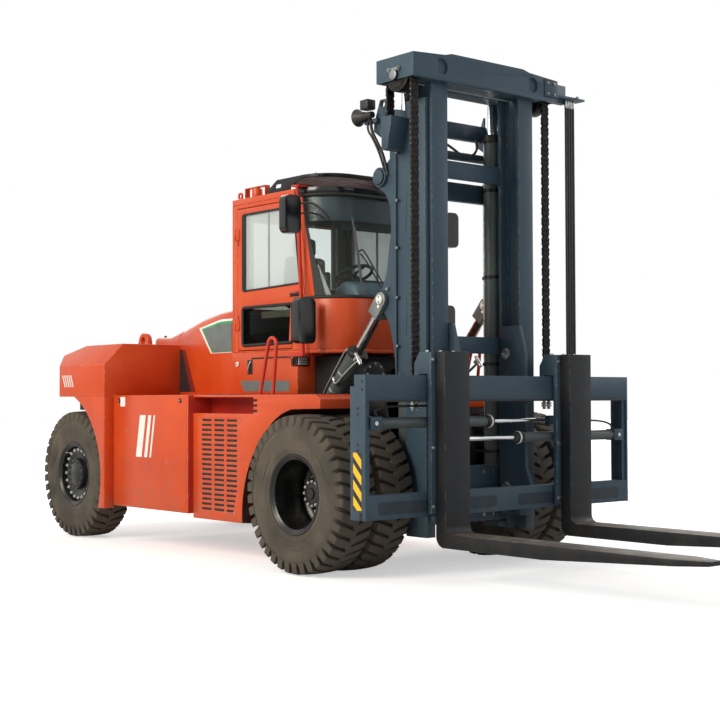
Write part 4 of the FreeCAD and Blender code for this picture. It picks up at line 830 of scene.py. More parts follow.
# Films on the hood's flanks, and the painted shadow in the gap at their rear: outline in side view, how proud each
# stands and its finish's number.
hoodPrints = {
    "whiteEdge": ([(-2760, 2238), (-2480, 1966), (-2050, 1966), (-2050, 2308), (-2251, 2308)], 0.0015, 1),
    "greenEdge": ([(-2690, 2226), (-2448, 1972), (-2050, 1972), (-2050, 2286), (-2251, 2284)], 0.0035, 2),
    "greyPanel": ([(-2640, 2212), (-2420, 1978), (-2050, 1978), (-2050, 2262), (-2251, 2260)], 0.0055, 0),
    "paintedGapShadow": ([(-3234, 2038), (-3234, 1574), (-2960, 1574), (-3185, 2027)], 0.0015, 3),
    "redShade": ([(-3185, 2027), (-2960, 1574), (-2850, 1574), (-3110, 2020)], 0.0015, 4),
}


def ballast():
    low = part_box("counterweight")[0]
    surface = surfaceOf("counterweight")

    def onTop(x, y):
        return surface.ray_cast(Vector((x, y, 3.0)), Vector((0, 0, -1)))[0].z

    def onBallast(bm):
        # Lifting points' weld pads, and a filler cap on the low cover.
        for y in (-0.47, 0.47):
            addBox(bm, (ahead(-4390), y - 0.045, 2.075), (ahead(-3940), y + 0.045, 2.095), 0, 0.006)
        x, y = ahead(-3600), -0.25
        cover = onTop(x, y)
        addRod(bm, (x, y, cover - 0.01), (x, y, cover + 0.03), 0.06, 1, 28, soft=0.006)
        addRod(bm, (x, y, cover + 0.03), (x, y, cover + 0.055), 0.035, 1, 20, soft=0.005)
        for y in (-0.33, 0.0, 0.33):
            for x in (-3900, -3300):
                addBolt(bm, (ahead(x), y, onTop(ahead(x), y) - 0.001), (0, 0, 1), 0.034, 1)
        # Small cable box on the side, above the rear wheel.
        addBox(bm, (ahead(-4035), -1.33, 1.385), (ahead(-3955), -1.25, 1.53), 1, 0.008)
        # Tow coupling in the back face.
        back = low.x
        addBox(bm, (back, -0.13, 1.56), (back + 0.05, 0.13, 1.60), 1, 0.006)
        addRod(bm, (back + 0.03, 0.0, 1.545), (back + 0.03, 0.0, 1.72), 0.022, 1, 20, soft=0.004)

    dressNode("counterweight", "orange", 0.012, more=("black",), extra=onBallast)

    # Short slanted white bars in a row on the flank.
    bm = bmesh.new()
    lean, wide, foot, head = (flankBars[key] for key in ("lean", "wide", "foot", "head"))
    for step in range(flankBars["count"]):
        x = ahead(flankBars["rear"] + flankBars["pitch"] * step)
        outline = [(x + lean, foot), (x + lean + wide, foot), (x + wide, head), (x, head)]
        addPlate(bm, outline, "XZ", low.y - 0.002, 0.003, 0)
    mirrorAcross(bm)
    makePiece("ballast-vent-bars", bm, "chassis", ["whitePaint"])

    # Rear lamps and reflectors, which stand a little proud of the back face.
    bm = bmesh.new()
    inner, outer, edge = rearLamps["inner"], rearLamps["outer"], rearLamps["edge"]
    for index, (z, tall) in enumerate(rearLamps["footAndTall"], 1):
        addBox(bm, (low.x - 0.004, outer, z), (low.x + 0.02, inner, z + tall), 0, 0.008)
        addBox(bm, (low.x - 0.012, outer + 0.015, z + edge),
               (low.x + 0.02, inner - 0.015, z + tall - edge), index, 0.006)
    mirrorAcross(bm)
    makePiece("rear-lamps", bm, "chassis", ["plastic", "redRail", "amber"])

    # Faces inside the wheel arch take the dark maroon: painted shade.
    dressNode("rear_arches", "orange", 0.006, more=("wheelArch",),
              recolour=lambda face: inArch(face, rearWheel))
    dressNode("hood", "orange", 0.004, angle=50)

    # Printed panel on the hood's flanks: grey, edged in white and green; and painted shadow, black and dark red,
    # for the gap at its rear.
    bm = bmesh.new()
    flank = surfaceOf("hood")
    for outline, lift, index in hoodPrints.values():
        addPrint(bm, [(ahead(x), mm(z)) for x, z in outline], flank, lift, index)
    makePiece("hood-prints-and-painted-shadow", bm, "chassis", ["greyPaint", "whitePaint", "greenPaint", "seal", "darkRed"],
              sharp=60)


def deckAndSteps():
    fenderLow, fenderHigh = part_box("front_fenders")
    deck = fenderHigh.z
    bm = bmesh.new()
    # Painted chequer plate on the access deck: small crossed bars in rows.
    rear, front, pitch = ahead(treads["rear"]), ahead(treads["front"]), treads["pitch"]
    addBox(bm, (rear, fenderLow.y + 0.09, deck), (front, -0.745, deck + 0.005), 0, 0.002)
    for row in range(treads["rows"]):
        for step in range(int((front - rear) / pitch)):
            x = rear + 0.05 + step * pitch + (pitch / 2 if row % 2 else 0)
            y = fenderLow.y + 0.13 + row * treads["rowStep"]
            lean = 1 if (row + step) % 2 else -1
            shape = (Matrix.Translation((x, y, deck + 0.0055)) @ Matrix.Rotation(lean * 0.785, 4, "Z")
                     @ Matrix.Diagonal((*treads["bar"], 1)))
            bmesh.ops.create_cube(bm, size=1.0, matrix=shape)
    mirrorAcross(bm)
    makePiece("deck-treads", bm, "chassis", ["underside"])


def underbody():
    def onFrame(bm):
        # Drive motor, pump and hose runs seen in the gap under the cab's nose.
        front = ahead(-560)
        addRod(bm, (front, -0.22, 1.73), (front + 0.16, -0.22, 1.73), 0.12, 0, 32, soft=0.01)
        addRod(bm, (front, 0.2, 1.70), (front + 0.12, 0.2, 1.70), 0.10, 0, 32, soft=0.01)
        addBox(bm, (front, -0.46, 1.56), (front + 0.07, 0.46, 1.60), 0, 0.006)
        addBoltRing(bm, (front + 0.16, -0.22, 1.73), (1, 0, 0), 0.095, 8, 0.018, 1)
        for y, z in ((-0.05, 1.62), (-0.02, 1.66), (0.35, 1.64)):
            addTube(bm, [(front, y, z), (front + 0.10, y - 0.02, z + 0.02),
                         (front + 0.18, y - 0.10, z - 0.02),
                         (front + 0.26, y - 0.12, z - 0.10)], 0.014, 2)
        for sign in (-1, 1):
            addBolt(bm, (mastPivot.x, sign * 0.30, mastPivot.z), (0, sign, 0), 0.04, 1)

    dressNode("main_frame", "underside", 0.005, more=("zinc", "rubberHose"), extra=onFrame)
    dressNode("front_axle", "underside", 0.005)
    dressNode("steer_axle", "underside", 0.006)
    for sideName in ("right", "left"):
        dressNode(f"steer_knuckle_{sideName}", "underside", 0.004)


bodySides()
ballast()
deckAndSteps()
underbody()
print("body done")


# Cab
screen = {"sill": 2.428, "eaves": 3.430, "half": 0.710, "radius": 0.400, "cornerSill": -760,
          "cornerEaves": -955}


def screenPath(z, inset, rearX):
    # The wrap-round glass in plan at height z, from the right-hand side round the nose to the left.
    share = (z - screen["sill"]) / (screen["eaves"] - screen["sill"])
    corner = ahead(screen["cornerSill"] + (screen["cornerEaves"] - screen["cornerSill"]) * share)
    half, r = screen["half"] - inset, screen["radius"] - inset
    side = [Vector((ahead(rearX), -half, z)), Vector((corner, -half, z))]
    for step in range(1, 11):
        angle = math.radians(9 * step)
        side.append(Vector((corner + r * math.sin(angle), -half + r * (1 - math.cos(angle)), z)))
    return side + [Vector((p.x, -p.y, p.z)) for p in reversed(side)]


def addShell(bm, lower, upper, thick, index=0):
    # A thin curved wall between two paths of as many points; both run so that the room is on their left.
    def backs(path):
        found = []
        for i, p in enumerate(path):
            run = path[min(i + 1, len(path) - 1)] - path[max(i - 1, 0)]
            found.append(p + Vector((-run.y, run.x, 0.0)).normalized() * thick)
        return found

    front = [[bm.verts.new(p) for p in row] for row in (lower, upper)]
    rear = [[bm.verts.new(p) for p in backs(row)] for row in (lower, upper)]
    made = []
    for i in range(len(lower) - 1):
        made.append(bm.faces.new((front[0][i], front[0][i + 1], front[1][i + 1], front[1][i])))
        made.append(bm.faces.new((rear[0][i], rear[1][i], rear[1][i + 1], rear[0][i + 1])))
        made.append(bm.faces.new((front[0][i], rear[0][i], rear[0][i + 1], front[0][i + 1])))
        made.append(bm.faces.new((front[1][i], front[1][i + 1], rear[1][i + 1], rear[1][i])))
    for i in (0, -1):
        made.append(bm.faces.new((front[0][i], front[1][i], rear[1][i], rear[0][i])))
    bmesh.ops.recalc_face_normals(bm, faces=made)
    for face in made:
        face.material_index = index
    return made


def cabShell():
    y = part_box("cab_base")[0].y

    def onBase(bm):
        # Grey stripe, filler cap, recessed pull, drip strip and a cable box under the lamp shelf.
        stripe = [(ahead(-1821), 1.575), (ahead(-1081), 1.572), (ahead(-1081), 1.671),
                  (ahead(-1899), 1.680)]
        addPlate(bm, stripe, "XZ", y - 0.0015, 0.003, 1)
        addRod(bm, (ahead(-1937), y, 1.844), (ahead(-1937), y - 0.012, 1.844), 0.026, 4, 24, soft=0.003)
        addRod(bm, (ahead(-1937), y - 0.012, 1.844), (ahead(-1937), y - 0.016, 1.844), 0.010, 3, 12)
        addBox(bm, (ahead(-1770), y - 0.004, 1.738), (ahead(-1680), y + 0.01, 1.884), 2, 0.006)
        addTube(bm, [(ahead(-1700), y - 0.006, 1.872), (ahead(-1722), y - 0.018, 1.83),
                     (ahead(-1735), y - 0.018, 1.79),
                     (ahead(-1742), y - 0.006, 1.756)], 0.008, 3, 10, 2)
        addBox(bm, (ahead(-1700), y - 0.006, 1.890), (ahead(-1057), y + 0.004, 1.905), 2, 0.002)
        addBox(bm, (ahead(-1040), y - 0.010, 1.825), (ahead(-1016), y + 0.004, 1.880), 2, 0.004)
        addRod(bm, (ahead(-1028), y, 1.900), (ahead(-1028), y - 0.010, 1.900), 0.016, 3, 16)
        mirrorAcross(bm)

    dressNode("cab_base", "orange", 0.008, more=("greyPaint", "seal", "zinc", "whitePaint"), extra=onBase)
    dressNode("cab_nose", "orange", 0.004, angle=50)
    dressNode("cab_sides", "orange", 0.005, more=("lining",), recolour=facesInward)
    dressNode("cab_rear_wall", "orange", 0.005, more=("lining",), recolour=facesInward)

    def onRoof(bm):
        # Rain gutter beside the lid.
        low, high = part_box("cab_roof")
        addBox(bm, (low.x + 0.16, low.y + 0.05, high.z), (high.x - 0.6, low.y + 0.075, high.z + 0.012), 0,
               0.004)
        mirrorAcross(bm)

    browRear = ahead(-1000)  # the roof's front brow and its underside are glossy black
    dressNode("cab_roof", "orange", 0.006, extra=onRoof, more=("gloss",), splitX=browRear,
              recolour=lambda face: face.calc_center_median().x > browRear or face.normal.z < -0.5)


def facesInward(face):
    # True for faces that look into the cab's room.
    middle = face.calc_center_median()
    room = Vector((ahead(-1400), 0.0, 2.7))
    return face.normal.dot(room - middle) > 0 and abs(middle.y) < 0.7 and middle.x > ahead(-2000)


def windowSeals():
    # Rubber along the screen's foot and head, and the printed edge that widens towards its foot.
    bm = bmesh.new()
    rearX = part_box("cab_rear_wall")[0].x
    for z, radius in ((screen["sill"] + 0.014, 0.018), (screen["eaves"] - 0.014, 0.016)):
        addTube(bm, screenPath(z, 0.008, -1000), radius, 0, 8, 1)
    foot = [(-702, 2.432), (-762, 2.75), (-831, 3.07), (-899, 3.42)]
    wide = [0.115, 0.067, 0.030, 0.018]
    for sign in (-1, 1):
        for (x0, z0), (x1, z1), w0, w1 in zip(foot, foot[1:], wide, wide[1:]):
            rows = []
            for x, z, w in ((x0, z0, w0), (x1, z1, w1)):
                rows.append(walkAlong(screenPath(z, 0.0115, -1010), ahead(x), w, sign)[::-sign])
            addShell(bm, rows[0], rows[1], 0.003)
        trim = [walkAlong(screenPath(z, 0.030, -1010), ahead(x), w, sign)[::-sign]
                for x, z, w in ((-702, 2.432, 0.170), (-762, 2.75, 0.067))]
        addShell(bm, trim[0], trim[1], 0.003, 1)
    # Rubber round the rear window.
    low, high = 2.34, 3.30
    corners = [(-0.57, low), (0.57, low), (0.57, high), (-0.57, high)]
    for (y0, z0), (y1, z1) in zip(corners, corners[1:] + corners[:1]):
        addRod(bm, (rearX + 0.002, y0, z0), (rearX + 0.002, y1, z1), 0.012, 0, 8)
    makePiece("cab-seals", bm, "chassis", ["seal", "greyTrim"], sharp=50)


def postFlanges():
    # The door posts' folded flange, lapped over the screen's edge.
    bm = bmesh.new()
    rear = [(-795, 2.432), (-842, 2.75), (-895, 3.07), (-945, 3.42)]
    wide = [0.095, 0.082, 0.066, 0.048]
    for sign in (-1, 1):
        for (x0, z0), (x1, z1), w0, w1 in zip(rear, rear[1:], wide, wide[1:]):
            rows = [walkAlong(screenPath(z, 0.0085, -1010), ahead(x), w, sign)[::-sign]
                    for x, z, w in ((x0, z0, w0), (x1, z1, w1))]
            addShell(bm, rows[0], rows[1], 0.003)
    makePiece("post-flanges", bm, "chassis", ["orange"], sharp=50)


def walkAlong(path, startX, length, sign):
    # Five points along one side of a screen path, from station startX for the given length.
    half = [Vector((p.x, sign * abs(p.y), p.z)) for p in path[:len(path) // 2]]
    rest = [p for p in half if p.x > startX]
    here = Vector((startX, half[0].y, half[0].z))
    points = [here.copy()]
    steps = 4
    for _ in range(steps):
        go = length / steps
        while rest and (rest[0] - here).length < go:
            go -= (rest[0] - here).length
            here = rest.pop(0)
        here = here + (rest[0] - here).normalized() * go
        points.append(here.copy())
    return points


def cabLining():
    # Dark header and sun blind behind the top of the screen, grey pillar trims, and the dashboard.
    bm = bmesh.new()
    addShell(bm, screenPath(3.165, 0.034, -960), screenPath(3.420, 0.034, -960), 0.004, 0)
    blind = [[Vector((p.x - 0.05, p.y, z)) for p in screenPath(3.30, 0.06, -700) if abs(p.y) < 0.42]
             for z in (3.09, 3.40)]
    addShell(bm, blind[0], blind[1], 0.006, 1)
    for sign in (-1, 1):
        # Rear pillars with their pale padding, and the quarter trims beside the doors.
        addBox(bm, (ahead(-1975), sign * 0.60 - 0.075, 2.36), (ahead(-1925), sign * 0.60 + 0.075, 3.42), 1,
               0.01)
        addBox(bm, (ahead(-1925), sign * 0.545 - 0.014, 2.42), (ahead(-1910), sign * 0.545 + 0.014, 3.30),
               2, 0.008)
        outline = [(ahead(-760), 2.44), (ahead(-700), 2.44), (ahead(-770), 2.66), (ahead(-806), 2.80)]
        addPlate(bm, outline, "XZ", sign * 0.672 - (0.006 if sign < 0 else 0), 0.006, 2)
    dash = [(ahead(-800), 2.30), (ahead(-420), 2.30), (ahead(-430), 2.49), (ahead(-510), 2.585),
            (ahead(-660), 2.61),
            (ahead(-800), 2.54)]
    addPlate(bm, dash, "XZ", -0.40, 0.74, 3, 0.045)
    addBox(bm, (ahead(-1240), -0.33, 2.30), (ahead(-1120), -0.22, 2.72), 3, 0.03)
    makePiece("cab-lining", bm, "chassis", ["headlining", "lining", "greyTrim", "dashboard"], sharp=50)


def wipersAndLamps():
    # The wiper stands upright beside its pantograph's two thin arms.
    bm = bmesh.new()
    low, high = Vector((ahead(-362), -0.402, 2.470)), Vector((ahead(-502), -0.409, 3.190))
    middle = low.lerp(high, 0.54)
    clip = middle + Vector((0.016, 0.0, 0.0))
    addRod(bm, low, high, 0.009, 0, 8)
    proud = Vector((0.014, 0.0, 0.0))
    addRod(bm, low.lerp(high, 0.2) + proud, low.lerp(high, 0.86) + proud, 0.008, 0, 8)
    foot = Vector((ahead(-346), -0.10, 2.450))
    addTube(bm, [clip, clip + Vector((0.004, 0.045, 0.03)), Vector((ahead(-432), -0.317, 2.870)),
                 Vector((ahead(-372), -0.16, 2.595)), foot + Vector((0, 0.03, 0))], 0.007, 0, 8, 2)
    addTube(bm, [clip - Vector((0, 0, 0.02)), Vector((ahead(-430), -0.350, 2.845)),
                 Vector((ahead(-367), -0.19, 2.565)),
                 foot - Vector((0, 0.02, 0))], 0.007, 0, 8, 2)
    addBox(bm, foot - Vector((0.02, 0.05, 0.03)), foot + Vector((0.02, 0.06, 0.03)), 0, 0.008)
    makePiece("front-wiper", bm, "chassis", ["plastic"])

    # Head lamps: a housing, its lens and three thin bars across it.
    low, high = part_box("head_lamps")
    bm = bmesh.new()
    y0, y1 = low.y, low.y + 0.13
    addBox(bm, (low.x, y0, low.z), (high.x - 0.012, y1, high.z), 0, 0.010)
    addBox(bm, (high.x - 0.014, y0 + 0.010, low.z + 0.014), (high.x - 0.002, y1 - 0.010, high.z - 0.012), 1,
           0.005)
    for z in (low.z + 0.035, low.z + 0.058, low.z + 0.08):
        addBox(bm, (high.x - 0.004, y0 + 0.010, z - 0.002), (high.x, y1 - 0.010, z + 0.002), 0, 0.001)
    mirrorAcross(bm)
    makePiece("head-lamps-glazed", bm, "chassis", ["plastic", "lens"], ("head_lamps",))


def roofGuard():
    def bolts(bm):
        low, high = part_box("roof_guard")
        for x in (low.x + 0.12, high.x - 0.16):
            for y in (low.y + 0.02, high.y - 0.02):
                addBolt(bm, (x, y, high.z - 0.004), (0, 0, 1), 0.022, 1)

    dressNode("roof_guard", "black", 0.004, more=("zinc",), extra=bolts)

    def beacon(bm):
        # Amber beacon inside its hoop.
        profile = [(0.0, 0.0), (0.048, 0.0), (0.048, 0.018), (0.042, 0.024), (0.040, 0.085), (0.030, 0.104),
                   (0.0, 0.110)]
        addTurned(bm, profile, (ahead(-1752), -0.600, 3.49), (0, 0, 1), 1, 28, closed=False)

    dressNode("roof_fittings", "orange", 0.003, more=("amber",), extra=beacon)


# The seals round a door's two panes: corners in side view, the rubber's radius and rounds of cutting.
doorSeals = {"upper": ([(-1844, 2565), (-915, 2590), (-1010, 3325), (-1844, 3325)], 0.010, 2),
             "lower": ([(-1846, 2025), (-1030, 2035), (-1030, 2400), (-1846, 2400)], 0.016, 3)}


def doorPieces():
    for sideName, side in (("right", -1), ("left", 1)):
        y = side * 0.710

        def trim(bm, y=y, side=side):
            # Seals round both panes, the sliding pane's bar, the handle on its plate and the hinge gaps, which are
            # dark red strips of painted shade.
            for corners, radius, rounds in doorSeals.values():
                points = [Vector((ahead(x), y + side * 0.001, mm(z))) for x, z in corners]
                ringPath = []
                for before, here, after in zip(points[-1:] + points, points, points[1:] + points[:1]):
                    ringPath += [here + (before - here).normalized() * 0.06, here,
                                 here + (after - here).normalized() * 0.06]
                addTube(bm, ringPath + [ringPath[0]], radius, 1, 8, rounds)
            addBox(bm, (ahead(-1862), y - 0.004, 2.57), (ahead(-1812), y + 0.004, 3.32), 1, 0.003)
            addBox(bm, (ahead(-1442), y - side * 0.026 - 0.002, 2.575),
                   (ahead(-1420), y - side * 0.010, 3.325), 3, 0.003)
            addBox(bm, (ahead(-1076), y - 0.006, 2.468), (ahead(-900), y + 0.006, 2.512), 1, 0.010)
            addTube(bm, [(ahead(-1060), y + side * 0.004, 2.492), (ahead(-1030), y + side * 0.026, 2.492),
                         (ahead(-930), y + side * 0.026, 2.486), (ahead(-908), y + side * 0.004, 2.486)],
                    0.010, 1, 10, 2)
            for z0, z1 in ((2.188, 2.330), (3.026, 3.168)):
                addBox(bm, (ahead(-1934), y - 0.003, z0), (ahead(-1916), y + 0.003, z1), 4, 0.002)

        dressNode(f"door_{sideName}", "orange", 0.004,
                  more=("seal", "zinc", "greyTrim", "darkRed", "lining"),
                  extra=trim, recolour=facesInward, recolourTo=5)

        def behindPane(bm, y=side * 0.672):
            # White edge of a shelf that shows through the smoked pane.
            addBox(bm, (ahead(-1582), y - 0.003, 2.285), (ahead(-1082), y + 0.003, 2.350), 2, 0.002)

        # Upper pane coated, lower one smoked.
        dressNode(f"door_glass_{sideName}", "doorGlass", 0.001, more=("smoked", "whitePaint"),
                  extra=behindPane,
                  recolour=lambda face: face.calc_center_median().z < 2.45)


def cabInside():
    # Sprung seat: cushion, back with side bolsters, headrest, armrests on a plastic base.
    low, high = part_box("seat")
    bm = bmesh.new()
    halfWide = 0.235  # of the cushion and the back
    addBox(bm, (low.x + 0.05, -0.20, low.z), (high.x - 0.08, 0.20, low.z + 0.30), 1, 0.02)
    addBox(bm, (low.x + 0.10, -halfWide, low.z + 0.33), (high.x - 0.01, halfWide, low.z + 0.47), 0, 0.05)
    backZ = low.z + 0.45
    addBox(bm, (low.x + 0.02, -halfWide, backZ), (low.x + 0.15, halfWide, high.z - 0.20), 0, 0.05)
    for sign in (-1, 1):
        addBox(bm, (low.x + 0.06, sign * halfWide - 0.035, backZ + 0.05),
               (low.x + 0.20, sign * halfWide + 0.02, high.z - 0.34), 0, 0.03)
        addBox(bm, (low.x + 0.12, sign * 0.245 - 0.012, low.z + 0.60),
               (low.x + 0.46, sign * 0.245 + 0.012, low.z + 0.66), 1, 0.015)
    addBox(bm, (low.x + 0.03, -0.13, high.z - 0.19), (low.x + 0.12, 0.13, high.z - 0.005), 0, 0.04)
    makePiece("seat-upholstered", bm, "chassis", ["fabric", "plastic"], ("seat",), 50)
    dressNode("steering_console", "plastic", 0.003)


def mirrorsAndRails():
    def onMirrors(bm):
        # Silvered faces in the shells, looking back, and the upper one's two bent arms.
        for y, z, wide, tall, x in ((-0.885, 2.215, 0.20, 0.42, -672.5), (-1.0, 3.19, 0.18, 0.35, -727.5)):
            addBox(bm, (ahead(x) - 0.002, y - wide / 2 + 0.018, z - tall / 2 + 0.018),
                   (ahead(x) + 0.004, y + wide / 2 - 0.018, z + tall / 2 - 0.018), 1, 0.004)
        addTube(bm, [(ahead(-838), -0.770, 3.322), (ahead(-760), -0.760, 3.330),
                     (ahead(-667), -0.735, 3.313),
                     (ahead(-590), -0.700, 3.250), (ahead(-545), -0.640, 3.165)], 0.010, 2, 8, 2)
        addTube(bm, [(ahead(-827), -0.770, 3.232), (ahead(-740), -0.750, 3.236),
                     (ahead(-644), -0.700, 3.213),
                     (ahead(-600), -0.650, 3.165)], 0.010, 2, 8, 2)
        mirrorAcross(bm)

    dressNode("mirrors", "gloss", 0.026, more=("mirrorGlass", "seal"), extra=onMirrors, segments=5)
    dressNode("rails_and_poles", "redRail", 0.003)


cabShell()
postFlanges()
windowSeals()
cabLining()
wipersAndLamps()
roofGuard()
doorPieces()
cabInside()
mirrorsAndRails()
print("cab done")


# Mast
def outerPieces():
    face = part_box("outer_uprights")[0].y

    def onUprights(bm):
        # Round bosses that close the trunnion bores, and the plates welded along the channels.
        x, z = ahead(208), 3.452
        addRod(bm, (x, face, z), (x, face - 0.030, z), 0.086, 0, 40, soft=0.004)
        addRod(bm, (x, face - 0.030, z), (x, face - 0.034, z), 0.074, 1, 40)
        addRod(bm, (x, face - 0.034, z), (x, face - 0.046, z), 0.066, 0, 40, soft=0.006)
        for z in (0.52, 1.10, 2.05, 2.95, 3.65):
            addBox(bm, (ahead(516), face - 0.004, z), (ahead(536), face + 0.002, z + 0.34), 0, 0.003)
        for z in (1.30, 1.60):
            addBolt(bm, (ahead(560), face, z), (0, -1, 0), 0.024, 2)
        # Painted pipe up the side in bolted clips.
        x, y = ahead(412), face - 0.0125
        addTube(bm, [(x, face + 0.004, 1.62), (x, y, 1.645), (x, y, 3.715), (x, face + 0.004, 3.74)],
                0.0105, 0, 12, 2)
        for z in (1.954, 2.377, 2.808, 3.222, 3.640):
            addBox(bm, (x - 0.015, y - 0.0135, z - 0.009), (x + 0.042, face + 0.001, z + 0.009), 0, 0.003)
            addBolt(bm, (x + 0.029, y - 0.0135, z), (0, -1, 0), 0.017, 2)
        addBox(bm, (ahead(700), face - 0.012, 0.50), (ahead(762), face, 0.56), 0, 0.004)
        addBolt(bm, (ahead(731), face - 0.012, 0.53), (0, -1, 0), 0.026, 2)
        # Keeper plate above the tilt rod's eye.
        x, z = ahead(235), 2.370
        addBox(bm, (x - 0.010, face - 0.012, z + 0.075), (x + 0.075, face, z + 0.105), 0, 0.003)
        addBolt(bm, (x + 0.055, face - 0.012, z + 0.09), (0, -1, 0), 0.020, 2)
        mirrorAcross(bm)

    dressNode("outer_uprights", "slate", 0.004, more=("seal", "zinc"), extra=onUprights)

    def onCrosses(bm):
        # Flush screws in the lower cross plate, clear of the inner mast, and pipes and hoses behind.
        front = ahead(560)
        for y in (-0.36, -0.24, 0.24, 0.36):
            for z in (0.46, 0.84):
                addRod(bm, (front - 0.004, y, z), (front + 0.0015, y, z), 0.018, 1, 18)
        for z in (3.36, 3.43):
            addTube(bm, [(ahead(192), -0.56, z), (ahead(180), -0.50, z),
                         (ahead(180), 0.50, z), (ahead(192), 0.56, z)], 0.013, 2, 12, 2)
        for y in (-0.35, 0.0, 0.35):
            addBox(bm, (ahead(164), y - 0.03, 3.335), (ahead(200), y + 0.03, 3.455), 1, 0.004)
        for y in (-0.42, 0.42):
            addTube(bm, [(ahead(300), y, 3.90), (ahead(330), y * 0.98, 3.78), (ahead(300), y * 0.7, 3.70),
                         (ahead(250), y * 0.4, 3.80), (ahead(200), y * 0.2, 3.86)], 0.012, 3, 10, 3)

    dressNode("outer_crossmembers", "slate", 0.005, more=("zinc", "rubberHose", "rubberHose"),
              extra=onCrosses)

    def onBarrels(bm):
        # Gland and foot collar.
        x, y = ahead(405), -0.53
        for profile in ([(0.062, 3.86), (0.098, 3.86), (0.098, 3.895), (0.092, 3.93), (0.062, 3.93)],
                        [(0.084, 0.38), (0.100, 0.38), (0.100, 0.46), (0.084, 0.47)]):
            addTurned(bm, profile, (x, y, 0), (0, 0, 1), 1, 40)
        # Supply pipe up the barrel with its clips and the port block at the foot.
        addTube(bm, [(x - 0.085, y, 0.55), (x - 0.115, y, 0.60), (x - 0.115, y, 3.70), (x - 0.09, y, 3.78)],
                0.011, 2, 10, 2)
        for z in (1.0, 1.8, 2.6, 3.4):
            clip = [(0.0852, z), (0.090, z), (0.090, z + 0.03), (0.0852, z + 0.03)]
            addTurned(bm, clip, (x, y, 0), (0, 0, 1), 3, 40)
            addBox(bm, (x - 0.130, y - 0.016, z), (x - 0.085, y + 0.016, z + 0.03), 3, 0.003)
        addBox(bm, (x - 0.125, y - 0.03, 0.52), (x - 0.075, y + 0.03, 0.60), 1, 0.006)
        mirrorAcross(bm)

    dressNode("lift_barrels", "cylinder", 0.004, more=("black", "zinc", "black"), extra=onBarrels)


def innerPieces():
    dressNode("inner_uprights", "slate", 0.004)
    dressNode("inner_crossmembers", "slate", 0.005)
    dressNode("lift_rods", "chrome", 0.003, angle=60)

    def onHead(bm):
        x, z = ahead(650), 4.250
        front = ahead(886)
        for sign in (-1, 1):
            y = sign * 0.888
            # Sheave pin's cap; on the right-hand side it has a keeper plate and two bolts.
            addRod(bm, (x, y, z), (x, y + sign * 0.026, z), 0.044, 1, 32, soft=0.004)
            if sign < 0:
                addBox(bm, (x - 0.075, y - 0.012, z + 0.032), (x + 0.075, y, z + 0.062), 1, 0.003)
                for shift in (-0.058, 0.058):
                    addBolt(bm, (x + shift, y - 0.012, z + 0.047), (0, -1, 0), 0.026, 1)
        # Hose guide bolted to the left-hand end of the head plate.
        addBox(bm, (front, 0.712, 4.245), (front + 0.004, 0.890, 4.405), 2)
        addBox(bm, (front - 0.001, 0.722, 4.252), (front + 0.008, 0.890, 4.398), 0, 0.002)
        for y in (0.758, 0.842):
            for zz in (4.275, 4.375):
                addRod(bm, (front + 0.008, y, zz), (front + 0.016, y, zz), 0.013, 1, 16, soft=0.002)
        addBolt(bm, (front + 0.001, 1.16, 4.288), (1, 0, 0), 0.024, 1)

    dressNode("crosshead", "slate", 0.005, more=("silver", "seal"), extra=onHead)

    def onSheaves(bm):
        # Raised ring on both faces of each sheave.
        x, z = ahead(650), 4.250
        for y in (-0.861, -0.751):
            outward = -1 if y < -0.8 else 1
            addTurned(bm, [(0.050, 0.0), (0.100, 0.0), (0.104, outward * 0.006), (0.046, outward * 0.006)],
                      (x, y, z), (0, 1, 0), 0, 40)
        mirrorAcross(bm)

    dressNode("chain_sheaves", "oiledSteel", 0.002, angle=50, extra=onSheaves)


chainShape = {"pitch": 0.046, "rows": 7, "rowStep": 0.0118, "plateThick": 0.0096, "halfPlate": 0.0135,
              "halfWaist": 0.0098, "pastPin": 0.013, "halfPin": 0.046, "fromMiddle": 0.806}
hoseShape = {"places": (1.062, 1.095, 1.128, 1.161), "foot": 1.523, "head": 4.269, "radius": 0.0125,
             "endRadius": 0.0155}


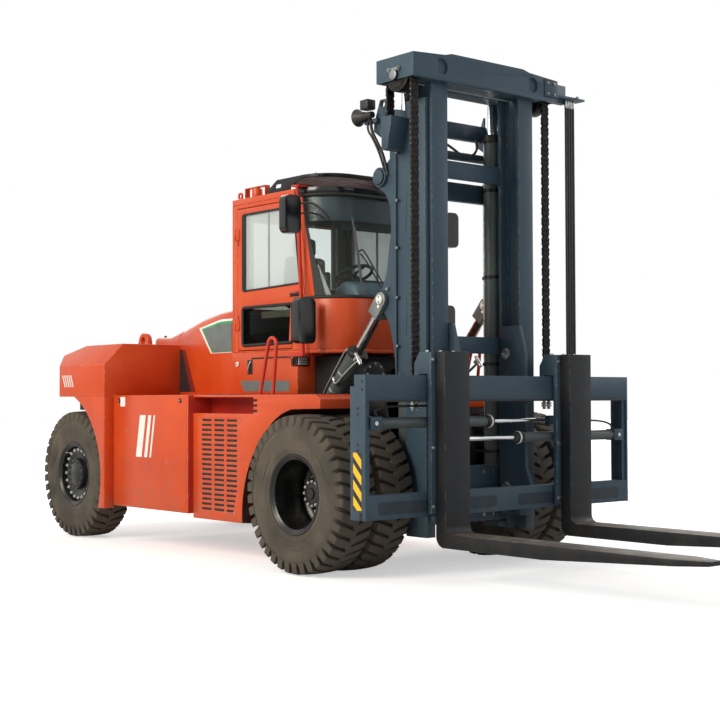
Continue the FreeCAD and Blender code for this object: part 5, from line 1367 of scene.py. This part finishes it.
def leafChain(name, node, x, low, high, blend):
    # Leaf chain: rows of waisted link plates on pins, neighbouring rows one pin apart.
    bm = bmesh.new()
    rows, rowStep, plateThick = chainShape["rows"], chainShape["rowStep"], chainShape["plateThick"]
    reach, waist, cap = chainShape["halfPlate"], chainShape["halfWaist"], chainShape["pastPin"]
    y = chainShape["fromMiddle"]
    links = int((high - low) / chainShape["pitch"])
    step = (high - low) / links
    for side in (-1, 1):
        for row in range(rows):
            start = side * y - 3 * rowStep - plateThick / 2 + row * rowStep
            for link in range(row % 2, links - row % 2, 2):
                z0, z1 = low + link * step, low + (link + 1) * step
                middle = (z0 + z1) / 2
                outline = [(x - reach, z0 - 0.006), (x - reach * 0.6, z0 - cap),
                           (x + reach * 0.6, z0 - cap),
                           (x + reach, z0 - 0.006), (x + reach, z0 + 0.006), (x + waist, middle),
                           (x + reach, z1 - 0.006), (x + reach, z1 + 0.006), (x + reach * 0.6, z1 + cap),
                           (x - reach * 0.6, z1 + cap), (x - reach, z1 + 0.006), (x - reach, z1 - 0.006),
                           (x - waist, middle), (x - reach, z0 + 0.006)]
                outline = [(a, min(max(b, low), high)) for a, b in outline]
                addPlate(bm, outline, "XZ", start, plateThick, 0)
        # A thin core inside the plates, which keeps daylight from showing between them.
        core = 3 * rowStep + plateThick / 2 - 0.001
        addBox(bm, (x - 0.006, side * y - core, low), (x + 0.006, side * y + core, high), 0)
        for pin in range(1, links):
            z = low + pin * step
            addRod(bm, (x, side * y - chainShape["halfPin"], z), (x, side * y + chainShape["halfPin"], z),
                   0.0075, 1, 10)
    makePiece(name, bm, None, ["oiledSteel", "wornSteel"], (node,), 50, blend)


def chainsAndHoses():
    frontX, rearX, hoseX = ahead(805), ahead(495), ahead(836)
    leafChain("front-leaf-chains", "front_chains", frontX, 1.523, 4.25,
              {"bodies": ("inner_mast", "carriage"), "start": (frontX, 0.0, 4.25),
               "end": (frontX, 0.0, 1.523)})
    leafChain("rear-leaf-chains", "rear_chains", rearX, 3.925, 4.25,
              {"bodies": ("outer_mast", "inner_mast"), "start": (rearX, 0.0, 3.925),
               "end": (rearX, 0.0, 4.25)})
    bm = bmesh.new()
    foot, head = hoseShape["foot"], hoseShape["head"]
    for y in hoseShape["places"]:
        addRod(bm, (hoseX, y, foot), (hoseX, y, head), hoseShape["radius"], 0, 14)
        for z0, z1 in ((foot, 1.60), (4.19, head)):
            addRod(bm, (hoseX, y, z0), (hoseX, y, z1), hoseShape["endRadius"], 1, 14, soft=0.002)
    makePiece("mast-hoses-with-ends", bm, None, ["rubberHose", "zinc"], ("mast_hoses",), 50,
              {"bodies": ("inner_mast", "carriage"), "start": (hoseX, 1.1, head),
               "end": (hoseX, 1.1, foot)})


tiltRam = {"foot": (-640, -642, 1320), "eye": (235, -642, 2370), "ports": (0.16, 0.70), "clips": (0.32, 0.52),
           "clevis": 0.205}


def tiltRams():
    foot, eye = (Vector((ahead(x), y / 1000, z / 1000)) for x, y, z in (tiltRam["foot"], tiltRam["eye"]))
    port = tiltRam["ports"][0]
    unit = (eye - foot).normalized()
    for sideName, side in (("right", 1), ("left", -1)):

        def onBarrel(bm, side=side):
            # Gland nut, welded port bosses, a hard pipe along the barrel and the cap of its pivot pin,
            # all drawn for the right-hand side first.
            gland = [(0.047, 0.742), (0.098, 0.742), (0.098, 0.772), (0.090, 0.785), (0.047, 0.785)]
            footRing = [(0.0882, 0.075), (0.094, 0.075), (0.094, 0.11), (0.0882, 0.12)]
            for profile in (gland, footRing):
                addTurned(bm, profile, foot, unit, 1, 40)
            up = Vector((0, 0, 1))
            off = (up - unit * unit.dot(up)).normalized()
            for along in tiltRam["ports"]:
                base = foot + unit * along
                addRod(bm, base + off * 0.080, base + off * 0.118, 0.022, 0, 20, soft=0.003)
                addRod(bm, base + off * 0.118, base + off * 0.140, 0.017, 2, 6)
            line = [foot + unit * port + off * 0.14, foot + unit * 0.20 + off * 0.155,
                    foot + unit * 0.66 + off * 0.155, foot + unit * 0.70 + off * 0.14]
            addTube(bm, line, 0.009, 2, 10, 2)
            for along in tiltRam["clips"]:
                clip = [(0.0882, along), (0.0915, along), (0.0915, along + 0.022), (0.0882, along + 0.022)]
                addTurned(bm, clip, foot, unit, 2, 40)
            # Bright service pipe with its elbow and cross fitting, low on the barrel's outer side.
            pipe = [Vector((ahead(-372), -0.735, 1.672)), Vector((ahead(-340), -0.748, 1.618)),
                    Vector((ahead(-200), -0.750, 1.722)), Vector((ahead(-31), -0.748, 1.833)),
                    Vector((ahead(0), -0.725, 1.842))]
            addTube(bm, pipe, 0.013, 2, 10, 2)
            addRod(bm, (ahead(-51), -0.748, 1.902), (ahead(20), -0.748, 1.800), 0.017, 2, 12, soft=0.003)
            addRod(bm, (ahead(-60), -0.748, 1.84), (ahead(-20), -0.748, 1.87), 0.022, 2, 6)
            addRod(bm, (ahead(-385), -0.735, 1.690), (ahead(-362), -0.737, 1.655), 0.019, 2, 12, soft=0.003)
            hose = [foot + unit * port + off * 0.14, foot + unit * 0.10 + off * 0.20 + Vector((0, 0.05, 0)),
                    foot + Vector((-0.02, 0.09, 0.12)), foot + Vector((-0.02, 0.105, 0.02))]
            addTube(bm, hose, 0.011, 3, 10, 3)
            addRod(bm, foot + Vector((0, -0.046, 0)), foot + Vector((0, -0.058, 0)), 0.060, 2, 32,
                   soft=0.004)
            if side < 0:
                flipAcross(bm)

        dressNode(f"tilt_barrel_{sideName}", "cylinder", 0.004, more=("black", "zinc", "rubberHose"),
                  extra=onBarrel, angle=45)

        def onRod(bm, side=side):
            # White caps on both ends of the clevis pin, each with two bolts and a small white stud below it.
            for reach in (-1, 1):
                y = eye.y + reach * 0.0655
                addRod(bm, (eye.x, y, eye.z), (eye.x, y + reach * 0.014, eye.z), 0.040, 2, 32, soft=0.003)
                for lift in (-0.022, 0.022):
                    addBolt(bm, (eye.x, y + reach * 0.014, eye.z + lift), (0, reach, 0), 0.013, 3)
                studX, studZ = eye.x - 0.012, eye.z - 0.062
                addRod(bm, (studX, y, studZ), (studX, y + reach * 0.010, studZ), 0.016, 2, 20, soft=0.002)
            if side < 0:
                flipAcross(bm)

        def stemOnly(face, side=side):
            # The chromed stem, up to where the painted clevis begins.
            centre = face.calc_center_median()
            start = Vector((foot.x, foot.y * side, foot.z))
            along = Vector((unit.x, 0, unit.z))
            return (centre - start).dot(along) < (eye - foot).length - tiltRam["clevis"]

        dressNode(f"tilt_rod_{sideName}", "silver", 0.004, more=("chrome", "whitePaint", "zinc"),
                  extra=onRod,
                  angle=45, recolour=stemOnly)


def mastFittings():
    # Horn, its bracket and the looms that reach it, at the head of the right-hand outer channel.
    bm = bmesh.new()
    x, y, z = ahead(60), -0.70, 3.96
    addBox(bm, (x - 0.04, y, z - 0.02), (ahead(190), y + 0.04, z + 0.02), 1, 0.004)
    addTurned(bm, [(0.0, -0.10), (0.030, -0.10), (0.034, -0.02), (0.052, 0.05), (0.080, 0.10),
                   (0.072, 0.10),
                   (0.045, 0.06), (0.0, 0.02)], (x, y - 0.02, z + 0.05), (-1, 0, 0), 0, 32, closed=False)
    addBox(bm, (x - 0.02, y - 0.07, z + 0.10), (x + 0.09, y + 0.03, z + 0.19), 0, 0.012)
    addTube(bm, [(x + 0.05, y, z + 0.02), (x + 0.10, y - 0.03, z - 0.10), (x + 0.16, y - 0.02, z - 0.20),
                 (x + 0.20, y + 0.02, z - 0.32), (x + 0.24, y + 0.035, z - 0.50)], 0.014, 0, 12, 3)
    addTube(bm, [(x + 0.03, y, z + 0.02), (x + 0.06, y - 0.05, z - 0.08), (x + 0.13, y - 0.04, z - 0.17),
                 (x + 0.17, y, z - 0.30), (x + 0.20, y + 0.035, z - 0.46)], 0.010, 0, 12, 3)
    makePiece("mast-horn", bm, "outer_mast", ["plastic", "slate"], sharp=50)


outerPieces()
innerPieces()
chainsAndHoses()
tiltRams()
mastFittings()
print("mast done")


# Carriage and forks
def carriagePieces():
    low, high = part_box("carriage_frame")
    front = high.x

    def onFrame(bm):
        for sign in (-1, 1):
            y = sign * abs(low.y)
            # Hole pairs and a slot in the end plates, drawn as dark shapes on them: painted shade for the
            # openings.
            for x, z in ((1058, 1.640), (1058, 1.575), (1001, 1.425), (1001, 1.379), (1001, 1.139),
                         (1001, 1.092)):
                addRod(bm, (ahead(x), y, z), (ahead(x), y + sign * 0.003, z), 0.011, 1, 16)
            addBox(bm, (ahead(1020), y - 0.002, 0.538), (ahead(1052), y + 0.002, 0.600), 1, 0.0)
        # Long rounded pockets along the lower bar, drawn as darker plates on it that paint the pockets' shade, and
        # two bolt threes.
        corner, pocketFoot, pocketTop = 0.032, 0.577, 0.677
        for y0, y1 in ((-1.465, -0.93), (-0.60, -0.135), (0.125, 0.60), (0.93, 1.465)):
            outline = []
            for y, z, start in ((y1 - corner, pocketTop - corner, 0.0),
                                (y0 + corner, pocketTop - corner, 0.5),
                                (y0 + corner, pocketFoot + corner, 1.0),
                                (y1 - corner, pocketFoot + corner, 1.5)):
                for step in range(6):
                    turn = math.pi * (start + step / 10)
                    outline.append((y + corner * math.cos(turn), z + corner * math.sin(turn)))
            addPlate(bm, outline, "YZ", front - 0.0012, 0.0024, 3)
        for y in (-0.869, 0.686):
            for z in (0.575, 0.612, 0.648):
                addBolt(bm, (front, y, z), (1, 0, 0), 0.017, 2)
        addBox(bm, (front - 0.001, -1.54, 1.475), (front + 0.012, 1.54, 1.489), 1, 0.002)

    dressNode("carriage_frame", "slate", 0.005, more=("seal", "zinc", "slateShade"), extra=onFrame)

    bm = bmesh.new()
    for sign in (-1, 1):
        y = sign * 1.6
        addBox(bm, (ahead(945), y - 0.0015, 0.618), (ahead(1045), y + 0.0015, 1.074), 0)
    makePiece("hazard-bands", bm, "carriage", ["hazard"])

    def onGuides(bm):
        # Roller caps, chain anchor rods with their nuts, and the blocks that hold the chains' ends.
        for z in (0.700, 1.900):
            addRod(bm, (ahead(694), -0.394, z), (ahead(694), -0.386, z), 0.050, 1, 28, soft=0.002)
            addBoltRing(bm, (ahead(694), -0.386, z), (0, 1, 0), 0.034, 3, 0.016, 1)
        for y in (-0.836, -0.776):
            addRod(bm, (ahead(805), y, 1.400), (ahead(805), y, 1.483), 0.015, 1, 16)
            for z in (1.462, 1.440):
                addRod(bm, (ahead(805), y, z - 0.018), (ahead(805), y, z), 0.026, 1, 6)
        addBox(bm, (ahead(792), -0.856, 1.523), (ahead(818), -0.756, 1.560), 2, 0.004)
        mirrorAcross(bm)

    dressNode("carriage_guides", "slate", 0.004, more=("zinc", "oiledSteel"), extra=onGuides)

    x = ahead(1040)

    def onTubes(bm):
        # Each positioner: gland with a white clamp ring, its mounting block, two ports and a hose.
        for side, z in ((-1, 1.306), (1, 1.160)):
            end = side * 1.54
            gland = end - side * 1.392
            addRod(bm, (x, gland + side * 0.001, z), (x, gland + side * 0.075, z), 0.052, 1, 32, soft=0.003)
            addRod(bm, (x, gland + side * 0.018, z), (x, gland + side * 0.036, z), 0.0555, 2, 32,
                   soft=0.002)
            # Square mounting block with its white pin at the fixed end.
            blockEnds = sorted((end, end - side * 0.125))
            addBox(bm, (x - 0.052, blockEnds[0], z - 0.052), (x + 0.052, blockEnds[1], z + 0.052), 4, 0.004)
            pinY = end - side * 0.06
            addRod(bm, (x + 0.052, pinY, z), (x + 0.058, pinY, z), 0.017, 2, 20, soft=0.002)
            for reach in (0.10, 1.26):
                y = end - side * reach
                addRod(bm, (x, y, z + 0.035), (x, y, z + 0.066), 0.014, 1, 6)
            addTube(bm, [(x, end - side * 0.10, z + 0.06), (x - 0.02, end - side * 0.10, z + 0.10),
                         (x - 0.04, end - side * 0.22, z + 0.13), (x - 0.05, end - side * 0.45, z + 0.135),
                         (x - 0.06, side * 0.55, z + 0.135)], 0.009, 3, 10, 3)

    dressNode("positioner_barrels", "cylinder", 0.003, more=("black", "whitePaint", "rubberHose", "slate"),
              extra=onTubes, angle=50)
    for sideName in ("right", "left"):
        dressNode(f"fork_rod_{sideName}", "chrome", 0.002, angle=60)


def bladeTop(face):
    # Bare worn steel along the blade's top, where loads slide.
    return face.normal.z > 0.9 and face.calc_center_median().z < 0.45


def forkPieces():
    for sideName, side in (("right", -1), ("left", 1)):
        dressNode(f"fork_{sideName}", "forkBlack", 0.007, more=("wornSteel",), recolour=bladeTop,
                  segments=3)

        def onBracket(bm, y=side * 0.755):
            # Bolts beside the shank, and a cover strip on top with three more.
            for shift in (-0.163, 0.163):
                for z in (1.82, 1.10, 0.62):
                    addBolt(bm, (ahead(1145), y + shift, z), (1, 0, 0), 0.028, 1)
            addBox(bm, (ahead(1000), y - 0.188, 1.8805), (ahead(1143), y + 0.188, 1.884), 0, 0.001)
            for shift in (-0.15, 0.0, 0.15):
                addBolt(bm, (ahead(1060), y + shift, 1.880), (0, 0, 1), 0.030, 1)

        dressNode(f"fork_bracket_{sideName}", "slate", 0.005, more=("zinc",), extra=onBracket)


carriagePieces()
forkPieces()
print("carriage done")


# Camera, light and floor
def lookThrough():
    camera = bpy.data.objects.new("camera", bpy.data.cameras.new("camera"))
    scene.collection.objects.link(camera)
    stand = {"place": (10.0122, -8.6106, 1.5187), "yaw": 2.44667, "pitch": 0.02642, "roll": -0.00313,
             "lens": 69.27}
    forward = Vector((math.cos(stand["pitch"]) * math.cos(stand["yaw"]),
                      math.cos(stand["pitch"]) * math.sin(stand["yaw"]), math.sin(stand["pitch"])))
    right = Vector((math.sin(stand["yaw"]), -math.cos(stand["yaw"]), 0))
    up = right.cross(forward)
    tiltedRight = right * math.cos(stand["roll"]) + up * math.sin(stand["roll"])
    tiltedUp = up * math.cos(stand["roll"]) - right * math.sin(stand["roll"])
    turn = Matrix((tiltedRight, tiltedUp, -forward)).transposed().to_4x4()
    camera.matrix_world = Matrix.Translation(stand["place"]) @ turn
    camera.data.lens = stand["lens"]
    camera.data.sensor_width = 36
    scene.camera = camera


def lightUp():
    lamps = {"key": {"place": (-0.5, -13.0, 7.6), "size": 6.0, "power": 1330, "colour": (1.0, 0.93, 0.80)},
             "front": {"place": (13.0, 3.5, 6.0), "size": 7.0, "power": 120, "colour": (0.86, 0.93, 1.0)},
             "rear": {"place": (-11.0, 6.0, 7.0), "size": 7.0, "power": 420, "colour": (1.0, 0.98, 0.95)},
             "left": {"place": (0.0, 13.0, 7.0), "size": 7.0, "power": 620, "colour": (1.0, 0.98, 0.95)}}
    for name, lamp in lamps.items():
        light = bpy.data.lights.new(name, "AREA")
        light.shape = "SQUARE"
        light.size = lamp["size"]
        light.energy = lamp["power"]
        light.color = lamp["colour"]
        holder = bpy.data.objects.new(name, light)
        place = Vector(lamp["place"])
        holder.matrix_world = facing(place, place - Vector((0, 0, 1.5)))
        scene.collection.objects.link(holder)
    world = bpy.data.worlds.new("studio")
    world.use_nodes = True
    tree = world.node_tree
    tree.nodes.clear()
    rays = addNode(tree, "ShaderNodeLightPath")
    straight = addNode(tree, "ShaderNodeMath", {0: rays.outputs["Is Camera Ray"],
                                                1: rays.outputs["Is Transmission Ray"]},
                       operation="MAXIMUM")
    seen = addNode(tree, "ShaderNodeMath", {0: straight.outputs[0], 1: rays.outputs["Is Glossy Ray"]},
                   operation="MAXIMUM")
    strength = addNode(tree, "ShaderNodeMapRange", {"Value": seen.outputs[0], "To Min": 0.4, "To Max": 1.0})
    sky = addNode(tree, "ShaderNodeBackground", {"Color": (1.0, 1.0, 1.0, 1.0),
                                                 "Strength": strength.outputs[0]})
    addNode(tree, "ShaderNodeOutputWorld", {"Surface": sky.outputs[0]})
    scene.world = world


def layFloor():
    bm = bmesh.new()
    bmesh.ops.create_grid(bm, x_segments=1, y_segments=1, size=60)
    mesh = bpy.data.meshes.new("floor")
    bm.to_mesh(mesh)
    bm.free()
    floor = bpy.data.objects.new("floor", mesh)
    scene.collection.objects.link(floor)
    # Pale matt studio floor: white to the camera but for the shadow, and plain white far off.
    material, tree = newMaterial("paleFloor")
    rays = addNode(tree, "ShaderNodeLightPath")
    place = addNode(tree, "ShaderNodeTexCoord").outputs["Object"]
    away = addNode(tree, "ShaderNodeVectorMath", {0: place}, operation="LENGTH").outputs["Value"]
    far = addNode(tree, "ShaderNodeMapRange", {"Value": away, "From Min": 7.0, "From Max": 13.0}).outputs[0]
    matt = addNode(tree, "ShaderNodeBsdfPrincipled", {"Base Color": (0.86, 0.86, 0.86, 1.0),
                                                      "Roughness": 0.95})
    fill = addNode(tree, "ShaderNodeMapRange", {"Value": far, "To Min": 0.5, "To Max": 1.0}).outputs[0]
    white = addNode(tree, "ShaderNodeEmission", {"Color": (1.0, 1.0, 1.0, 1.0), "Strength": fill})
    both = addNode(tree, "ShaderNodeAddShader", {0: matt.outputs[0], 1: white.outputs[0]})
    shown = addNode(tree, "ShaderNodeMixShader", {0: rays.outputs["Is Camera Ray"], 1: matt.outputs[0],
                                                  2: both.outputs[0]})
    addNode(tree, "ShaderNodeOutputMaterial", {"Surface": shown.outputs[0]})
    mesh.materials.append(material)


lookThrough()
lightUp()
layFloor()
scene.view_settings.view_transform = "Standard"
print("scene ready")
